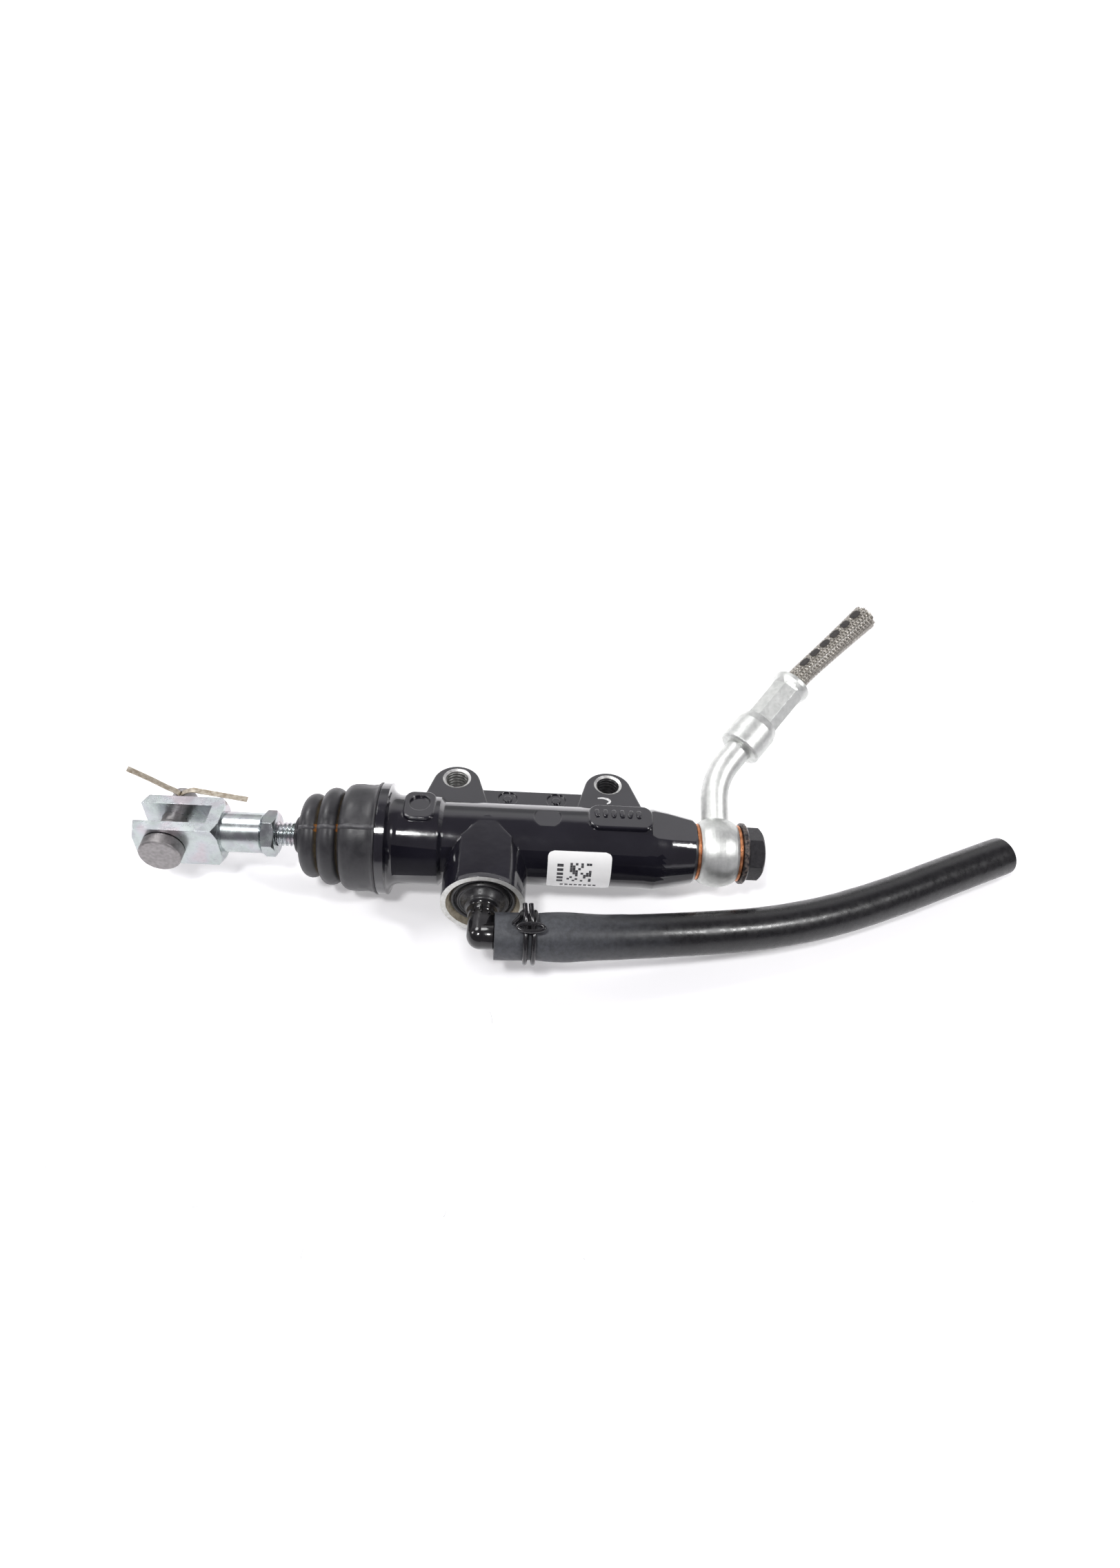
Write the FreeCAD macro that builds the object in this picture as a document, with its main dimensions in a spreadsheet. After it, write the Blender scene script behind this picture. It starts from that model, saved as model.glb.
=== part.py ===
import FreeCAD, Part
import math
import os

import Sketcher
from FreeCAD import Placement, Rotation, Vector

# Rear brake master cylinder, millimetres.  The origin lies midway between the two
# mounting holes, on the mounting face of the ears.  +X runs along the bore towards
# the banjo bolt, +Y points from the bore to the mounting holes, +Z is up.

SIZES = [
    # the cylinder axis, seen from the mounting holes
    ("axis_y", -20.4), ("axis_z", -2.5),
    # cast body
    ("spigot_left", -44.4), ("spigot_rad", 11.4),
    ("flange_left", -36.7), ("flange_right", -34.5), ("flange_rad", 13.8),
    ("shoulder_rad", 11.05), ("step_x", -22.3), ("step_end", -21.3),
    ("barrel_rad", 9.95), ("swell_x", 28.0), ("taper_x", 30.6), ("taper_rad", 10.15),
    ("face_x", 41.0), ("face_rad", 7.5), ("facet_left", 9.0), ("facet_right", 7.1),
    ("bore_rad", 6.35), ("bore_end", 20.5), ("mouth_rad", 7.6),
    ("outlet_rad", 5.0), ("outlet_start", 27.0), ("passage_rad", 1.6),
    # mounting ears and the web between them
    ("hole_pitch", 40.0), ("hole_rad", 3.0), ("hole_chamfer_rad", 3.7), ("ear_rad", 6.25),
    ("chamfer_deep", 0.4), ("ear_back", 1.4), ("ear_foot_y", -10.6), ("ear_thick", 9.0),
    ("web_top", 1.0), ("web_thick", 6.5), ("web_far", -3.1), ("web_half", 13.5),
    ("dial_rad", 2.5), ("dial_x", 6.35), ("dial_y", -5.9), ("dial_deep", 0.35),
    # raised pads on the barrel
    ("pad_left", -30.9), ("pad_right", -23.4), ("pad_far", 5.6), ("pad_near", -3.6),
    ("pad_top", 11.5), ("plate_left", 13.9), ("plate_right", 29.6), ("plate_far", 4.6),
    ("plate_near", -3.2), ("plate_top", 10.65), ("mark_x", 3.9), ("mark_rad", 3.35),
    # fluid inlet boss
    ("boss_x", -10.6), ("boss_rad", 10.0), ("boss_rim", -19.8), ("boss_facet_rim", 7.9),
    ("boss_facet_top", 10.0), ("boss_facet_half", 6.0), ("boss_bore_rad", 7.8),
    ("boss_mouth_rad", 8.7), ("boss_floor", -11.6), ("boss_seat", -18.3),
    ("port_rad", 1.5), ("relief_rad", 0.6),
    # dust boot
    ("boot_left", -57.6), ("boot_hole", 3.05), ("boot_neck", 4.6), ("boot_wall", 1.1),
    ("fold_small_x", -53.1), ("fold_small", 10.4), ("fold_large_x", -48.4),
    ("fold_large", 12.2), ("cuff_x", -43.8), ("cuff_rad", 13.45), ("lip_rad", 14.1),
    # pushrod, locknut and clevis
    ("rod_rad", 3.0), ("rod_left", -77.0), ("seat_x", -37.0), ("ball_rad", 3.6),
    ("rod_neck", 17.0),
    ("nut_left", -65.5), ("nut_long", 3.2), ("nut_flats", 10.0), ("nut_turn", 47.8),
    ("fork_left", -95.3), ("fork_right", -75.2), ("fork_wide", 11.6), ("fork_high", 11.8),
    ("slot_wide", 5.9), ("slot_end", -78.2), ("shank_rad", 5.0), ("pin_x", -88.5),
    ("pin_rad", 3.0), ("pin_head_rad", 5.0), ("pin_head_face", -9.0), ("pin_head_under", -5.9),
    ("pin_tip", 12.2), ("cotter_y", 9.4), ("cotter_hole", 0.95), ("cotter_wire", 0.42),
    # bore parts
    ("clip_left", -43.4), ("clip_thick", 1.0), ("stop_rad", 7.5), ("stop_left", -42.2),
    ("stop_thick", 1.4), ("piston_left", -40.8), ("piston_right", -12.6),
    ("cup_long", 3.6), ("spring_rad", 4.6), ("spring_wire", 0.55), ("spring_turns", 7.0),
    # inlet seal and elbow
    ("elbow_rad", 3.1), ("elbow_bore", 1.7), ("arm_y", -28.6),
    ("barb_rad", 3.0),
    # feed hose and its clip
    ("hose_rad", 5.5), ("hose_bore", 3.0), ("wire_rad", 0.55), ("clip_gap", 1.85),
    # outlet: washers, banjo eye, neck, ferrule, braided hose, banjo bolt
    ("washer_thick", 1.0), ("washer_rad", 7.05), ("eye_wide", 9.4), ("eye_rad", 8.75),
    ("eye_hole", 5.1), ("neck_angle", 29.9), ("neck_rad", 3.45), ("neck_bore", 1.6),
    ("neck_run", 19.3), ("neck_bend", 38.3), ("neck_curve", 17.0), ("ferrule_start", 10.9),
    ("ferrule_long", 24.5), ("collar_rad", 5.6), ("crimp_flats", 8.6), ("lip_flare", 5.1),
    ("stub_bend", 6.4), ("stub_long", 29.6), ("stub_rad", 3.05), ("braid_rad", 2.75),
    ("liner_rad", 2.3), ("liner_bore", 1.5),
    ("bolt_rad", 4.85), ("bolt_flange", 7.7), ("bolt_flange_thick", 1.6), ("hex_long", 4.1),
    ("hex_flats", 11.5), ("hex_turn", 47.0), ("bolt_end", 29.0), ("bolt_bore", 1.5),
]

doc = FreeCAD.newDocument("BrakeMasterCylinder")
sheet = doc.addObject("Spreadsheet::Sheet", "Dims")
for row, (alias, number) in enumerate(SIZES, start=1):
    sheet.set(f"A{row}", alias)
    sheet.set(f"B{row}", str(number))
    sheet.setAlias(f"B{row}", alias)
doc.recompute()


class Size:
    """A length with its number and the spreadsheet expression that drives it."""

    def __init__(self, number, text):
        self.number = number
        self.text = text

    def join(self, other, sign, number):
        return Size(number, f"({self.text} {sign} {text_of(other)})")

    def __add__(self, other):
        return self.join(other, "+", self.number + number_of(other))

    def __sub__(self, other):
        return self.join(other, "-", self.number - number_of(other))

    def __mul__(self, other):
        return self.join(other, "*", self.number * number_of(other))

    def __truediv__(self, other):
        return self.join(other, "/", self.number / number_of(other))

    def __neg__(self):
        return self * -1


def number_of(value):
    return value.number if isinstance(value, Size) else float(value)


def text_of(value):
    return value.text if isinstance(value, Size) else f"({float(value):.6f})"


class Dims:
    """Every spreadsheet alias as a Size."""


for alias, number in SIZES:
    setattr(Dims, alias, Size(number, f"Dims.{alias}"))
D = Dims
NODES = []


def drive(obj, prop, value):
    if isinstance(value, Size):
        obj.setExpression(prop, value.text)


def place(obj, where, turn=None):
    """Put a sub-part at a point of the row frame, driven by the spreadsheet."""
    obj.Placement = Placement(Vector(*[number_of(v) for v in where]), turn or Rotation())
    for axis, value in zip("xyz", where):
        drive(obj, f"Placement.Base.{axis}", value)


def new_body(name, where=None, turn=None):
    body = doc.addObject("PartDesign::Body", name)
    body.Label = name
    place(body, where or (0, D.axis_y, D.axis_z), turn)
    NODES.append(body)
    return body


def sketch_on(body, name, role, at=(0, 0, 0)):
    """A sketch on one of the body's own planes, shifted by 'at' in that plane's axes."""
    sketch = body.newObject("Sketcher::SketchObject", name)
    plane = [f for f in body.Origin.OriginFeatures if f.Role == role][0]
    sketch.AttachmentSupport = [(plane, "")]
    sketch.MapMode = "FlatFace"
    sketch.AttachmentOffset = Placement(Vector(*[number_of(v) for v in at]), Rotation())
    for axis, value in zip("xyz", at):
        drive(sketch, f"AttachmentOffset.Base.{axis}", value)
    return sketch


def hold_point(sketch, geometry, position, corner):
    """Fix one sketch point by its two coordinates."""
    for kind, value in zip(("DistanceX", "DistanceY"), corner):
        number = number_of(value)
        index = sketch.addConstraint(
            Sketcher.Constraint(kind, -1, 1, geometry, position, number))
        drive(sketch, f"Constraints[{index}]", value)


def outline(sketch, corners):
    """A closed outline of straight edges through the corners."""
    points = [Vector(number_of(a), number_of(b), 0) for a, b in corners]
    count = len(points)
    for i in range(count):
        sketch.addGeometry(Part.LineSegment(points[i], points[(i + 1) % count]), False)
    for i in range(count):
        sketch.addConstraint(Sketcher.Constraint("Coincident", i, 2, (i + 1) % count, 1))
        hold_point(sketch, i, 1, corners[i])


def circle(sketch, centre, radius):
    middle = Vector(number_of(centre[0]), number_of(centre[1]), 0)
    ring = Part.Circle(middle, Vector(0, 0, 1), number_of(radius))
    index = sketch.addGeometry(ring, False)
    hold_point(sketch, index, 3, centre)
    limit = sketch.addConstraint(Sketcher.Constraint("Radius", index, number_of(radius)))
    drive(sketch, f"Constraints[{limit}]", radius)


def revolve(body, name, corners, role="XY_Plane", axis="H_Axis", at=(0, 0, 0), cut=False):
    sketch = sketch_on(body, name + "_outline", role, at)
    outline(sketch, corners)
    kind = "PartDesign::Groove" if cut else "PartDesign::Revolution"
    feature = body.newObject(kind, name)
    feature.Profile = sketch
    feature.ReferenceAxis = (sketch, [axis])
    feature.Angle = 360.0
    return feature


def pad(body, name, sketch, length, midplane=False, reverse=False):
    feature = body.newObject("PartDesign::Pad", name)
    feature.Profile = sketch
    feature.Length = number_of(length)
    drive(feature, "Length", length)
    feature.Midplane = midplane
    feature.Reversed = reverse
    return feature


def pocket(body, name, sketch, length=None, midplane=False, reverse=False):
    """Cut along the sketch's normal; without a length it goes through everything."""
    feature = body.newObject("PartDesign::Pocket", name)
    feature.Profile = sketch
    if length is None:
        feature.Type = "ThroughAll"
    else:
        feature.Length = number_of(length)
        drive(feature, "Length", length)
    feature.Midplane = midplane
    feature.Reversed = reverse
    doc.recompute()
    base = feature.BaseFeature.Shape.Volume
    if feature.Shape.isNull() or base - feature.Shape.Volume < 0.001:
        raise RuntimeError(f"{name} removes nothing")
    return feature


def round_edges(body, name, radius, chosen, kind="PartDesign::Fillet"):
    """Fillet or chamfer the edges of the body's tip for which chosen(edge) holds."""
    doc.recompute()
    tip = body.Tip
    edges = [f"Edge{i}" for i, edge in enumerate(tip.Shape.Edges, start=1) if chosen(edge)]
    feature = body.newObject(kind, name)
    feature.Base = (tip, edges)
    prop = "Radius" if kind.endswith("Fillet") else "Size"
    setattr(feature, prop, number_of(radius))
    drive(feature, prop, radius)
    doc.recompute()
    return feature


def box_of(edge):
    return edge.BoundBox


def ring_at(x, radius, tolerance=0.05):
    """Chooses circular edges about the X axis at one station."""
    def chosen(edge):
        box = box_of(edge)
        flat = box.XLength < tolerance and abs(box.XMin - number_of(x)) < tolerance
        return flat and abs(box.ZMax - number_of(radius)) < tolerance
    return chosen


def between(low, high):
    """Chooses edges that lie wholly inside a box given by two corners."""
    def chosen(edge):
        box = box_of(edge)
        lows = (box.XMin, box.YMin, box.ZMin)
        highs = (box.XMax, box.YMax, box.ZMax)
        return all(a >= b for a, b in zip(lows, low)) and all(a <= b for a, b in zip(highs, high))
    return chosen


def hexagon(flats, turn):
    """Corner points of a hexagon given its width over flats and its turn in degrees."""
    corners = []
    for k in range(6):
        angle = math.radians(60 * k + turn)
        reach = 0.5 / math.cos(math.radians(30))
        corners.append((flats * (reach * math.cos(angle)), flats * (reach * math.sin(angle))))
    return corners


def build_boss(body):
    """Fluid inlet boss: a round socket under a sloping roof with one flat facet."""
    boss = sketch_on(body, "boss_section", "XZ_Plane")
    circle(boss, (D.boss_x, 0), D.boss_rad)
    pad(body, "inlet_boss", boss, -D.boss_rim)
    roof = sketch_on(body, "roof_section", "YZ_Plane", (0, 0, D.boss_x))
    outline(roof, [(D.boss_rim + 2, 4), (D.boss_rim + 2, D.boss_facet_rim + 0.4),
                   (-0.4, D.boss_facet_top + 0.4), (-0.4, 4)])
    pad(body, "boss_roof", roof, D.boss_facet_half * 2, midplane=True)
    for side, name in ((-1, "left"), (1, "right")):
        corner = sketch_on(body, f"gable_{name}_outline", "XY_Plane")
        outline(corner, [(D.boss_x + side * 0.6, 0), (D.boss_x + D.boss_facet_half * side * 1.05, -6.6),
                         (D.boss_x + side * 12, -6.6), (D.boss_x + side * 12, 0)])
        pocket(body, f"gable_{name}", corner, reverse=True)
    slope = sketch_on(body, "boss_slope", "YZ_Plane")
    outline(slope, [(D.boss_rim + 1.3, D.boss_facet_rim), (0, D.boss_facet_top),
                    (0, 14), (D.boss_rim + 1.3, 14)])
    pocket(body, "boss_facet", slope, midplane=True)


def build_cylinder():
    """The casting: ears, inlet boss, barrel, raised marks and all its bores."""
    body = new_body("cylinder_body")
    build_ears(body)
    build_boss(body)
    revolve(body, "barrel", [
        (D.spigot_left, 0), (D.spigot_left, D.spigot_rad - 0.8), (D.spigot_left + 0.8, D.spigot_rad),
        (D.flange_left, D.spigot_rad), (D.flange_left, D.flange_rad),
        (D.flange_right, D.flange_rad), (D.flange_right, D.shoulder_rad),
        (D.step_x, D.shoulder_rad), (D.step_end, D.barrel_rad), (D.swell_x, D.barrel_rad),
        (D.taper_x, D.taper_rad), (D.face_x - 6.8, D.taper_rad * 0.935),
        (D.face_x - 0.7, D.face_rad + 0.6), (D.face_x, D.face_rad), (D.face_x, 0)])
    round_edges(body, "flange_fillet", 2.6, ring_at(D.flange_right, D.shoulder_rad))
    facet = sketch_on(body, "taper_facet_section", "XZ_Plane")
    outline(facet, [(D.taper_x - 1.2, D.facet_left + 0.25), (D.face_x + 1, D.facet_right - 0.1),
                    (D.face_x + 1, 14), (D.taper_x - 1.2, 14)])
    pocket(body, "taper_facet", facet, midplane=True)
    build_marks(body)
    build_bores(body)


def ear_outline(sketch, hole_x, left_foot, right_foot):
    """Round-topped ear: an arc about a point behind the hole and two flared flanks."""
    centre = (hole_x, -D.axis_y - D.ear_back)
    reach = D.ear_rad
    middle = Vector(number_of(centre[0]), number_of(centre[1]), 0)
    radius = number_of(reach)
    low, high = math.radians(12), math.radians(168)
    left = middle + Vector(radius * math.cos(high), radius * math.sin(high), 0)
    right = middle + Vector(radius * math.cos(low), radius * math.sin(low), 0)
    feet = [(left_foot, D.ear_foot_y - D.axis_y), (left_foot + 0.5, -2), (right_foot - 0.5, -2),
            (right_foot, D.ear_foot_y - D.axis_y)]
    points = [Vector(number_of(a), number_of(b), 0) for a, b in feet]
    arc = Part.ArcOfCircle(Part.Circle(middle, Vector(0, 0, 1), radius), low, high)
    sketch.addGeometry(arc, False)
    chain = [left] + points + [right]
    for start, end in zip(chain, chain[1:]):
        sketch.addGeometry(Part.LineSegment(start, end), False)
    for i in range(1, 5):
        sketch.addConstraint(Sketcher.Constraint("Coincident", i, 2, i + 1, 1))
    hold_point(sketch, 0, 3, centre)
    limit = sketch.addConstraint(Sketcher.Constraint("Radius", 0, radius))
    drive(sketch, f"Constraints[{limit}]", reach)
    hold_point(sketch, 1, 2, feet[0])
    hold_point(sketch, 2, 2, feet[1])
    hold_point(sketch, 3, 2, feet[2])
    hold_point(sketch, 4, 2, feet[3])
    sketch.addConstraint(Sketcher.Constraint("Tangent", 0, 2, 1, 1))
    sketch.addConstraint(Sketcher.Constraint("Tangent", 5, 2, 0, 1))


def build_ears(body):
    """Two mounting ears joined by a lower web with two shallow date dials."""
    top = -D.axis_z
    half = D.hole_pitch / 2
    web = sketch_on(body, "web_outline", "XY_Plane", (0, 0, top - D.web_top))
    outline(web, [(-D.web_half, -2), (-D.web_half, D.web_far - D.axis_y),
                  (D.web_half, D.web_far - D.axis_y), (D.web_half, -2)])
    pad(body, "ear_web", web, D.web_thick, reverse=True)
    feet = {"left": (-half, -half - 8.9, -half + 9.3), "right": (half, half - 8.9, half + 9.6)}
    for side, (hole_x, left_foot, right_foot) in feet.items():
        sketch = sketch_on(body, f"ear_{side}_outline", "XY_Plane", (0, 0, top))
        ear_outline(sketch, hole_x, left_foot, right_foot)
        pad(body, f"ear_{side}", sketch, D.ear_thick, reverse=True)
    round_edges(body, "ear_edges", 0.6, lambda edge: (
        abs(box_of(edge).ZMin - number_of(top)) < 0.01 and box_of(edge).ZLength < 0.01
        and box_of(edge).YMax > number_of(D.ear_foot_y - D.axis_y) + 0.5))
    for side, sign in (("left", -1), ("right", 1)):
        dial = sketch_on(body, f"dial_{side}_outline", "XY_Plane", (0, 0, top - D.web_top))
        circle(dial, (D.dial_x * sign, D.dial_y - D.axis_y), D.dial_rad)
        pocket(body, f"date_dial_{side}", dial, D.dial_deep)
        knob = sketch_on(body, f"dial_knob_{side}_outline", "XY_Plane", (0, 0, top - D.web_top))
        circle(knob, (D.dial_x * sign, D.dial_y - D.axis_y), D.dial_rad * 0.45)
        pad(body, f"dial_knob_{side}", knob, D.dial_deep, reverse=True)


def rounded_rectangle(sketch, left, right, near, far, radius):
    """Four straight sides joined by four tangent arcs."""
    r = number_of(radius)
    x0, x1, y0, y1 = (number_of(v) for v in (left, right, near, far))
    sides = [((x0 + r, y0), (x1 - r, y0)), ((x1, y0 + r), (x1, y1 - r)),
             ((x1 - r, y1), (x0 + r, y1)), ((x0, y1 - r), (x0, y0 + r))]
    middles = [(x1 - r, y0 + r, 270), (x1 - r, y1 - r, 0), (x0 + r, y1 - r, 90), (x0 + r, y0 + r, 180)]
    for start, end in sides:
        sketch.addGeometry(Part.LineSegment(Vector(*start, 0), Vector(*end, 0)), False)
    for x, y, first in middles:
        ring = Part.Circle(Vector(x, y, 0), Vector(0, 0, 1), r)
        arc = Part.ArcOfCircle(ring, math.radians(first), math.radians(first + 90))
        sketch.addGeometry(arc, False)
    for i in range(4):
        sketch.addConstraint(Sketcher.Constraint("Tangent", i, 2, 4 + i, 1))
        sketch.addConstraint(Sketcher.Constraint("Tangent", 4 + i, 2, (i + 1) % 4, 1))
        limit = sketch.addConstraint(Sketcher.Constraint("Radius", 4 + i, r))
        drive(sketch, f"Constraints[{limit}]", radius)
        sketch.addConstraint(Sketcher.Constraint("Horizontal" if i % 2 == 0 else "Vertical", i))
    for i, kind, value in ((0, "DistanceY", near), (1, "DistanceX", right),
                           (2, "DistanceY", far), (3, "DistanceX", left)):
        limit = sketch.addConstraint(Sketcher.Constraint(kind, -1, 1, i, 1, number_of(value)))
        drive(sketch, f"Constraints[{limit}]", value)


def rounded_plate(body, name, left, right, near, far, top, corner):
    """A raised pad on the barrel with rounded corners and a rounded crown."""
    sketch = sketch_on(body, name + "_outline", "XY_Plane", (0, 0, 6))
    rounded_rectangle(sketch, left, right, near, far, corner)
    pad(body, name, sketch, top - 6)
    crown = number_of(top)
    round_edges(body, name + "_crown", 0.5, lambda edge: (
        abs(box_of(edge).ZMin - crown) < 0.01 and box_of(edge).ZLength < 0.01))


def build_marks(body):
    rounded_plate(body, "maker_pad", D.pad_left, D.pad_right, D.pad_near, D.pad_far,
                  D.pad_top, Size(2.2, "(2.2)"))
    recess = sketch_on(body, "pad_recess_outline", "XY_Plane", (0, 0, D.pad_top))
    middle = ((D.pad_left + D.pad_right) / 2, (D.pad_near + D.pad_far) / 2 + 0.6)
    circle(recess, middle, 2.5)
    pocket(body, "pad_recess", recess, 0.6)
    rounded_plate(body, "number_plate", D.plate_left, D.plate_right, D.plate_near,
                  D.plate_far, D.plate_top, Size(2.6, "(2.6)"))
    ejector = sketch_on(body, "ejector_outline", "XY_Plane", (0, 0, D.barrel_rad - 0.35))
    circle(ejector, (D.mark_x, 0.3), D.mark_rad)
    pocket(body, "ejector_mark", ejector, reverse=True)


def build_bores(body):
    revolve(body, "bore", [
        (D.spigot_left - 1, 0), (D.spigot_left - 1, D.mouth_rad), (D.clip_left - 0.1, D.mouth_rad),
        (D.clip_left - 0.1, D.mouth_rad + 0.8), (D.clip_left + D.clip_thick + 0.1, D.mouth_rad + 0.8),
        (D.clip_left + D.clip_thick + 0.1, D.mouth_rad), (D.stop_left + D.stop_thick, D.mouth_rad),
        (D.stop_left + D.stop_thick, D.bore_rad), (D.bore_end, D.bore_rad),
        (D.bore_end + 3.0, D.passage_rad), (D.outlet_start - 2, D.passage_rad),
        (D.outlet_start, D.outlet_rad), (D.face_x - 0.6, D.outlet_rad),
        (D.face_x, D.outlet_rad + 0.6), (D.face_x + 1, D.outlet_rad + 0.6), (D.face_x + 1, 0)],
        cut=True)
    revolve(body, "inlet_bore", [
        (0, D.boss_rim - 1), (D.boss_mouth_rad, D.boss_rim - 1), (D.boss_mouth_rad, D.boss_rim),
        (D.boss_bore_rad, D.boss_seat), (D.boss_bore_rad, D.boss_floor), (0, D.boss_floor)],
        axis="V_Axis", at=(D.boss_x, 0, 0), cut=True)
    for name, x, radius in (("feed_port", D.boss_x - 3.6, D.port_rad),
                            ("relief_port", D.boss_x + 3.2, D.relief_rad)):
        port = sketch_on(body, name + "_outline", "XZ_Plane", (0, 0, 0))
        circle(port, (x, 0), radius)
        pocket(body, name, port, -D.boss_floor + 1, reverse=True)
    for side, sign in (("left", -0.5), ("right", 0.5)):
        revolve(body, f"ear_hole_{side}", [
            (0, -D.axis_z + 1), (D.hole_chamfer_rad, -D.axis_z + 1), (D.hole_chamfer_rad, -D.axis_z),
            (D.hole_rad, -D.axis_z - D.chamfer_deep), (D.hole_rad, -D.axis_z - D.ear_thick - 1),
            (0, -D.axis_z - D.ear_thick - 1)],
            role="XZ_Plane", axis="V_Axis", at=(D.hole_pitch * sign, 0, D.axis_y), cut=True)


def build_boot():
    body = new_body("dust_boot")
    wall = D.boot_wall
    outer = [(D.boot_left, D.boot_neck), (D.fold_small_x - 2.4, D.boot_neck + 0.6),
             (D.fold_small_x - 0.9, D.fold_small), (D.fold_small_x + 0.7, D.fold_small),
             (D.fold_small_x + 2.0, D.fold_small - 2.6), (D.fold_large_x - 1.5, D.fold_large),
             (D.fold_large_x + 0.9, D.fold_large), (D.fold_large_x + 2.2, D.fold_large - 2.4),
             (D.cuff_x, D.cuff_rad - 1.0), (D.cuff_x + 1.0, D.cuff_rad),
             (D.flange_left - 1.0, D.cuff_rad + 0.2), (D.flange_left - 0.9, D.lip_rad),
             (D.flange_left, D.lip_rad)]
    inner = [(D.flange_left, D.spigot_rad), (D.spigot_left, D.spigot_rad),
             (D.spigot_left - 0.5, D.spigot_rad - 0.5), (D.fold_large_x + 2.3, D.fold_large - 2.4 - wall),
             (D.fold_large_x + 0.5, D.fold_large - wall), (D.fold_large_x - 1.0, D.fold_large - wall),
             (D.fold_small_x + 2.3, D.fold_small - 2.6 - wall), (D.fold_small_x + 0.4, D.fold_small - wall),
             (D.fold_small_x - 0.6, D.fold_small - wall), (D.fold_small_x - 1.8, D.boot_hole + 0.4),
             (D.fold_small_x - 2.2, D.boot_hole), (D.boot_left, D.boot_hole)]
    revolve(body, "boot_wall", outer + inner)


def build_pushrod():
    """Threaded rod with a ball end; its neck is thin where it tilts in the stop washer."""
    seat = D.seat_x
    neck = D.rod_rad - 0.3
    body = new_body("pushrod")
    revolve(body, "rod", [
        (D.rod_left, 0), (D.rod_left, D.rod_rad - 0.6), (D.rod_left + 0.6, D.rod_rad),
        (seat - D.rod_neck, D.rod_rad), (seat - D.rod_neck + 0.3, neck), (seat, neck), (seat, 0)])
    ball = body.newObject("PartDesign::AdditiveSphere", "rod_ball")
    ball.Radius = number_of(D.ball_rad)
    drive(ball, "Radius", D.ball_rad)
    plane = [f for f in body.Origin.OriginFeatures if f.Role == "XY_Plane"][0]
    ball.AttachmentSupport = [(plane, "")]
    ball.MapMode = "FlatFace"
    ball.AttachmentOffset = Placement(Vector(number_of(seat), 0, 0), Rotation(Vector(1, 0, 0), 90))
    drive(ball, "AttachmentOffset.Base.x", seat)
    nut = new_body("locknut")
    section = sketch_on(nut, "nut_section", "YZ_Plane", (0, 0, D.nut_left))
    outline(section, hexagon(D.nut_flats, number_of(D.nut_turn)))
    pad(nut, "nut_hex", section, D.nut_long)
    big = D.nut_flats * 0.62
    for name, x, lean in (("left", D.nut_left, 1), ("right", D.nut_left + D.nut_long, -1)):
        revolve(nut, f"nut_chamfer_{name}", [
            (x, D.nut_flats * 0.49), (x, big), (x + lean * 0.75, big)], cut=True)
    hole = sketch_on(nut, "nut_hole_outline", "YZ_Plane", (0, 0, D.nut_left))
    circle(hole, (0, 0), D.rod_rad)
    pocket(nut, "nut_hole", hole, reverse=True)
    build_clevis()
    build_pin()


def build_clevis():
    body = new_body("clevis")
    section = sketch_on(body, "fork_section", "YZ_Plane", (0, 0, D.fork_left))
    half_y = D.fork_wide / 2
    half_z = D.fork_high / 2
    outline(section, [(-half_y, -half_z), (half_y, -half_z), (half_y, half_z), (-half_y, half_z)])
    pad(body, "fork_block", section, D.fork_right - D.fork_left)
    # the block is turned from the bar, so its corners end on a cone at both ends
    corner = D.fork_wide * 0.715
    for name, x, lean in (("left", D.fork_left, 1.5), ("right", D.fork_right, -1.5)):
        revolve(body, f"fork_cone_{name}", [(x, half_y * 1.12), (x, corner + 0.6),
                                            (x + lean, corner + 0.6)], cut=True)
    revolve(body, "shank", [(D.fork_right - 1, 0), (D.fork_right - 1, D.shank_rad),
                            (D.nut_left - 0.4, D.shank_rad), (D.nut_left, D.shank_rad - 0.4),
                            (D.nut_left, 0)])
    slot = sketch_on(body, "slot_outline", "XY_Plane")
    half_slot = D.slot_wide / 2
    outline(slot, [(D.fork_left - 1, -half_slot), (D.slot_end, -half_slot),
                   (D.slot_end, half_slot), (D.fork_left - 1, half_slot)])
    pocket(body, "fork_slot", slot, midplane=True)
    bore = sketch_on(body, "rod_hole_outline", "YZ_Plane", (0, 0, D.slot_end - 0.5))
    circle(bore, (0, 0), D.rod_rad)
    pocket(body, "rod_hole", bore, reverse=True)
    pin = sketch_on(body, "pin_hole_outline", "XZ_Plane")
    circle(pin, (D.pin_x, 0), D.pin_rad + 0.06)
    pocket(body, "pin_hole", pin, midplane=True)


def build_pin():
    body = new_body("clevis_pin", (D.pin_x, D.axis_y, D.axis_z))
    revolve(body, "pin_turned", [
        (0, D.pin_head_face), (D.pin_head_rad - 0.35, D.pin_head_face),
        (D.pin_head_rad, D.pin_head_face + 0.35), (D.pin_head_rad, D.pin_head_under - 0.08),
        (D.pin_rad, D.pin_head_under - 0.08), (D.pin_rad, D.pin_tip - 0.6),
        (D.pin_rad - 0.6, D.pin_tip), (0, D.pin_tip)], axis="V_Axis")
    hole = sketch_on(body, "cotter_hole_outline", "XY_Plane")
    circle(hole, (0, D.cotter_y), D.cotter_hole)
    pocket(body, "cotter_hole", hole, midplane=True)
    build_cotter()


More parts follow.
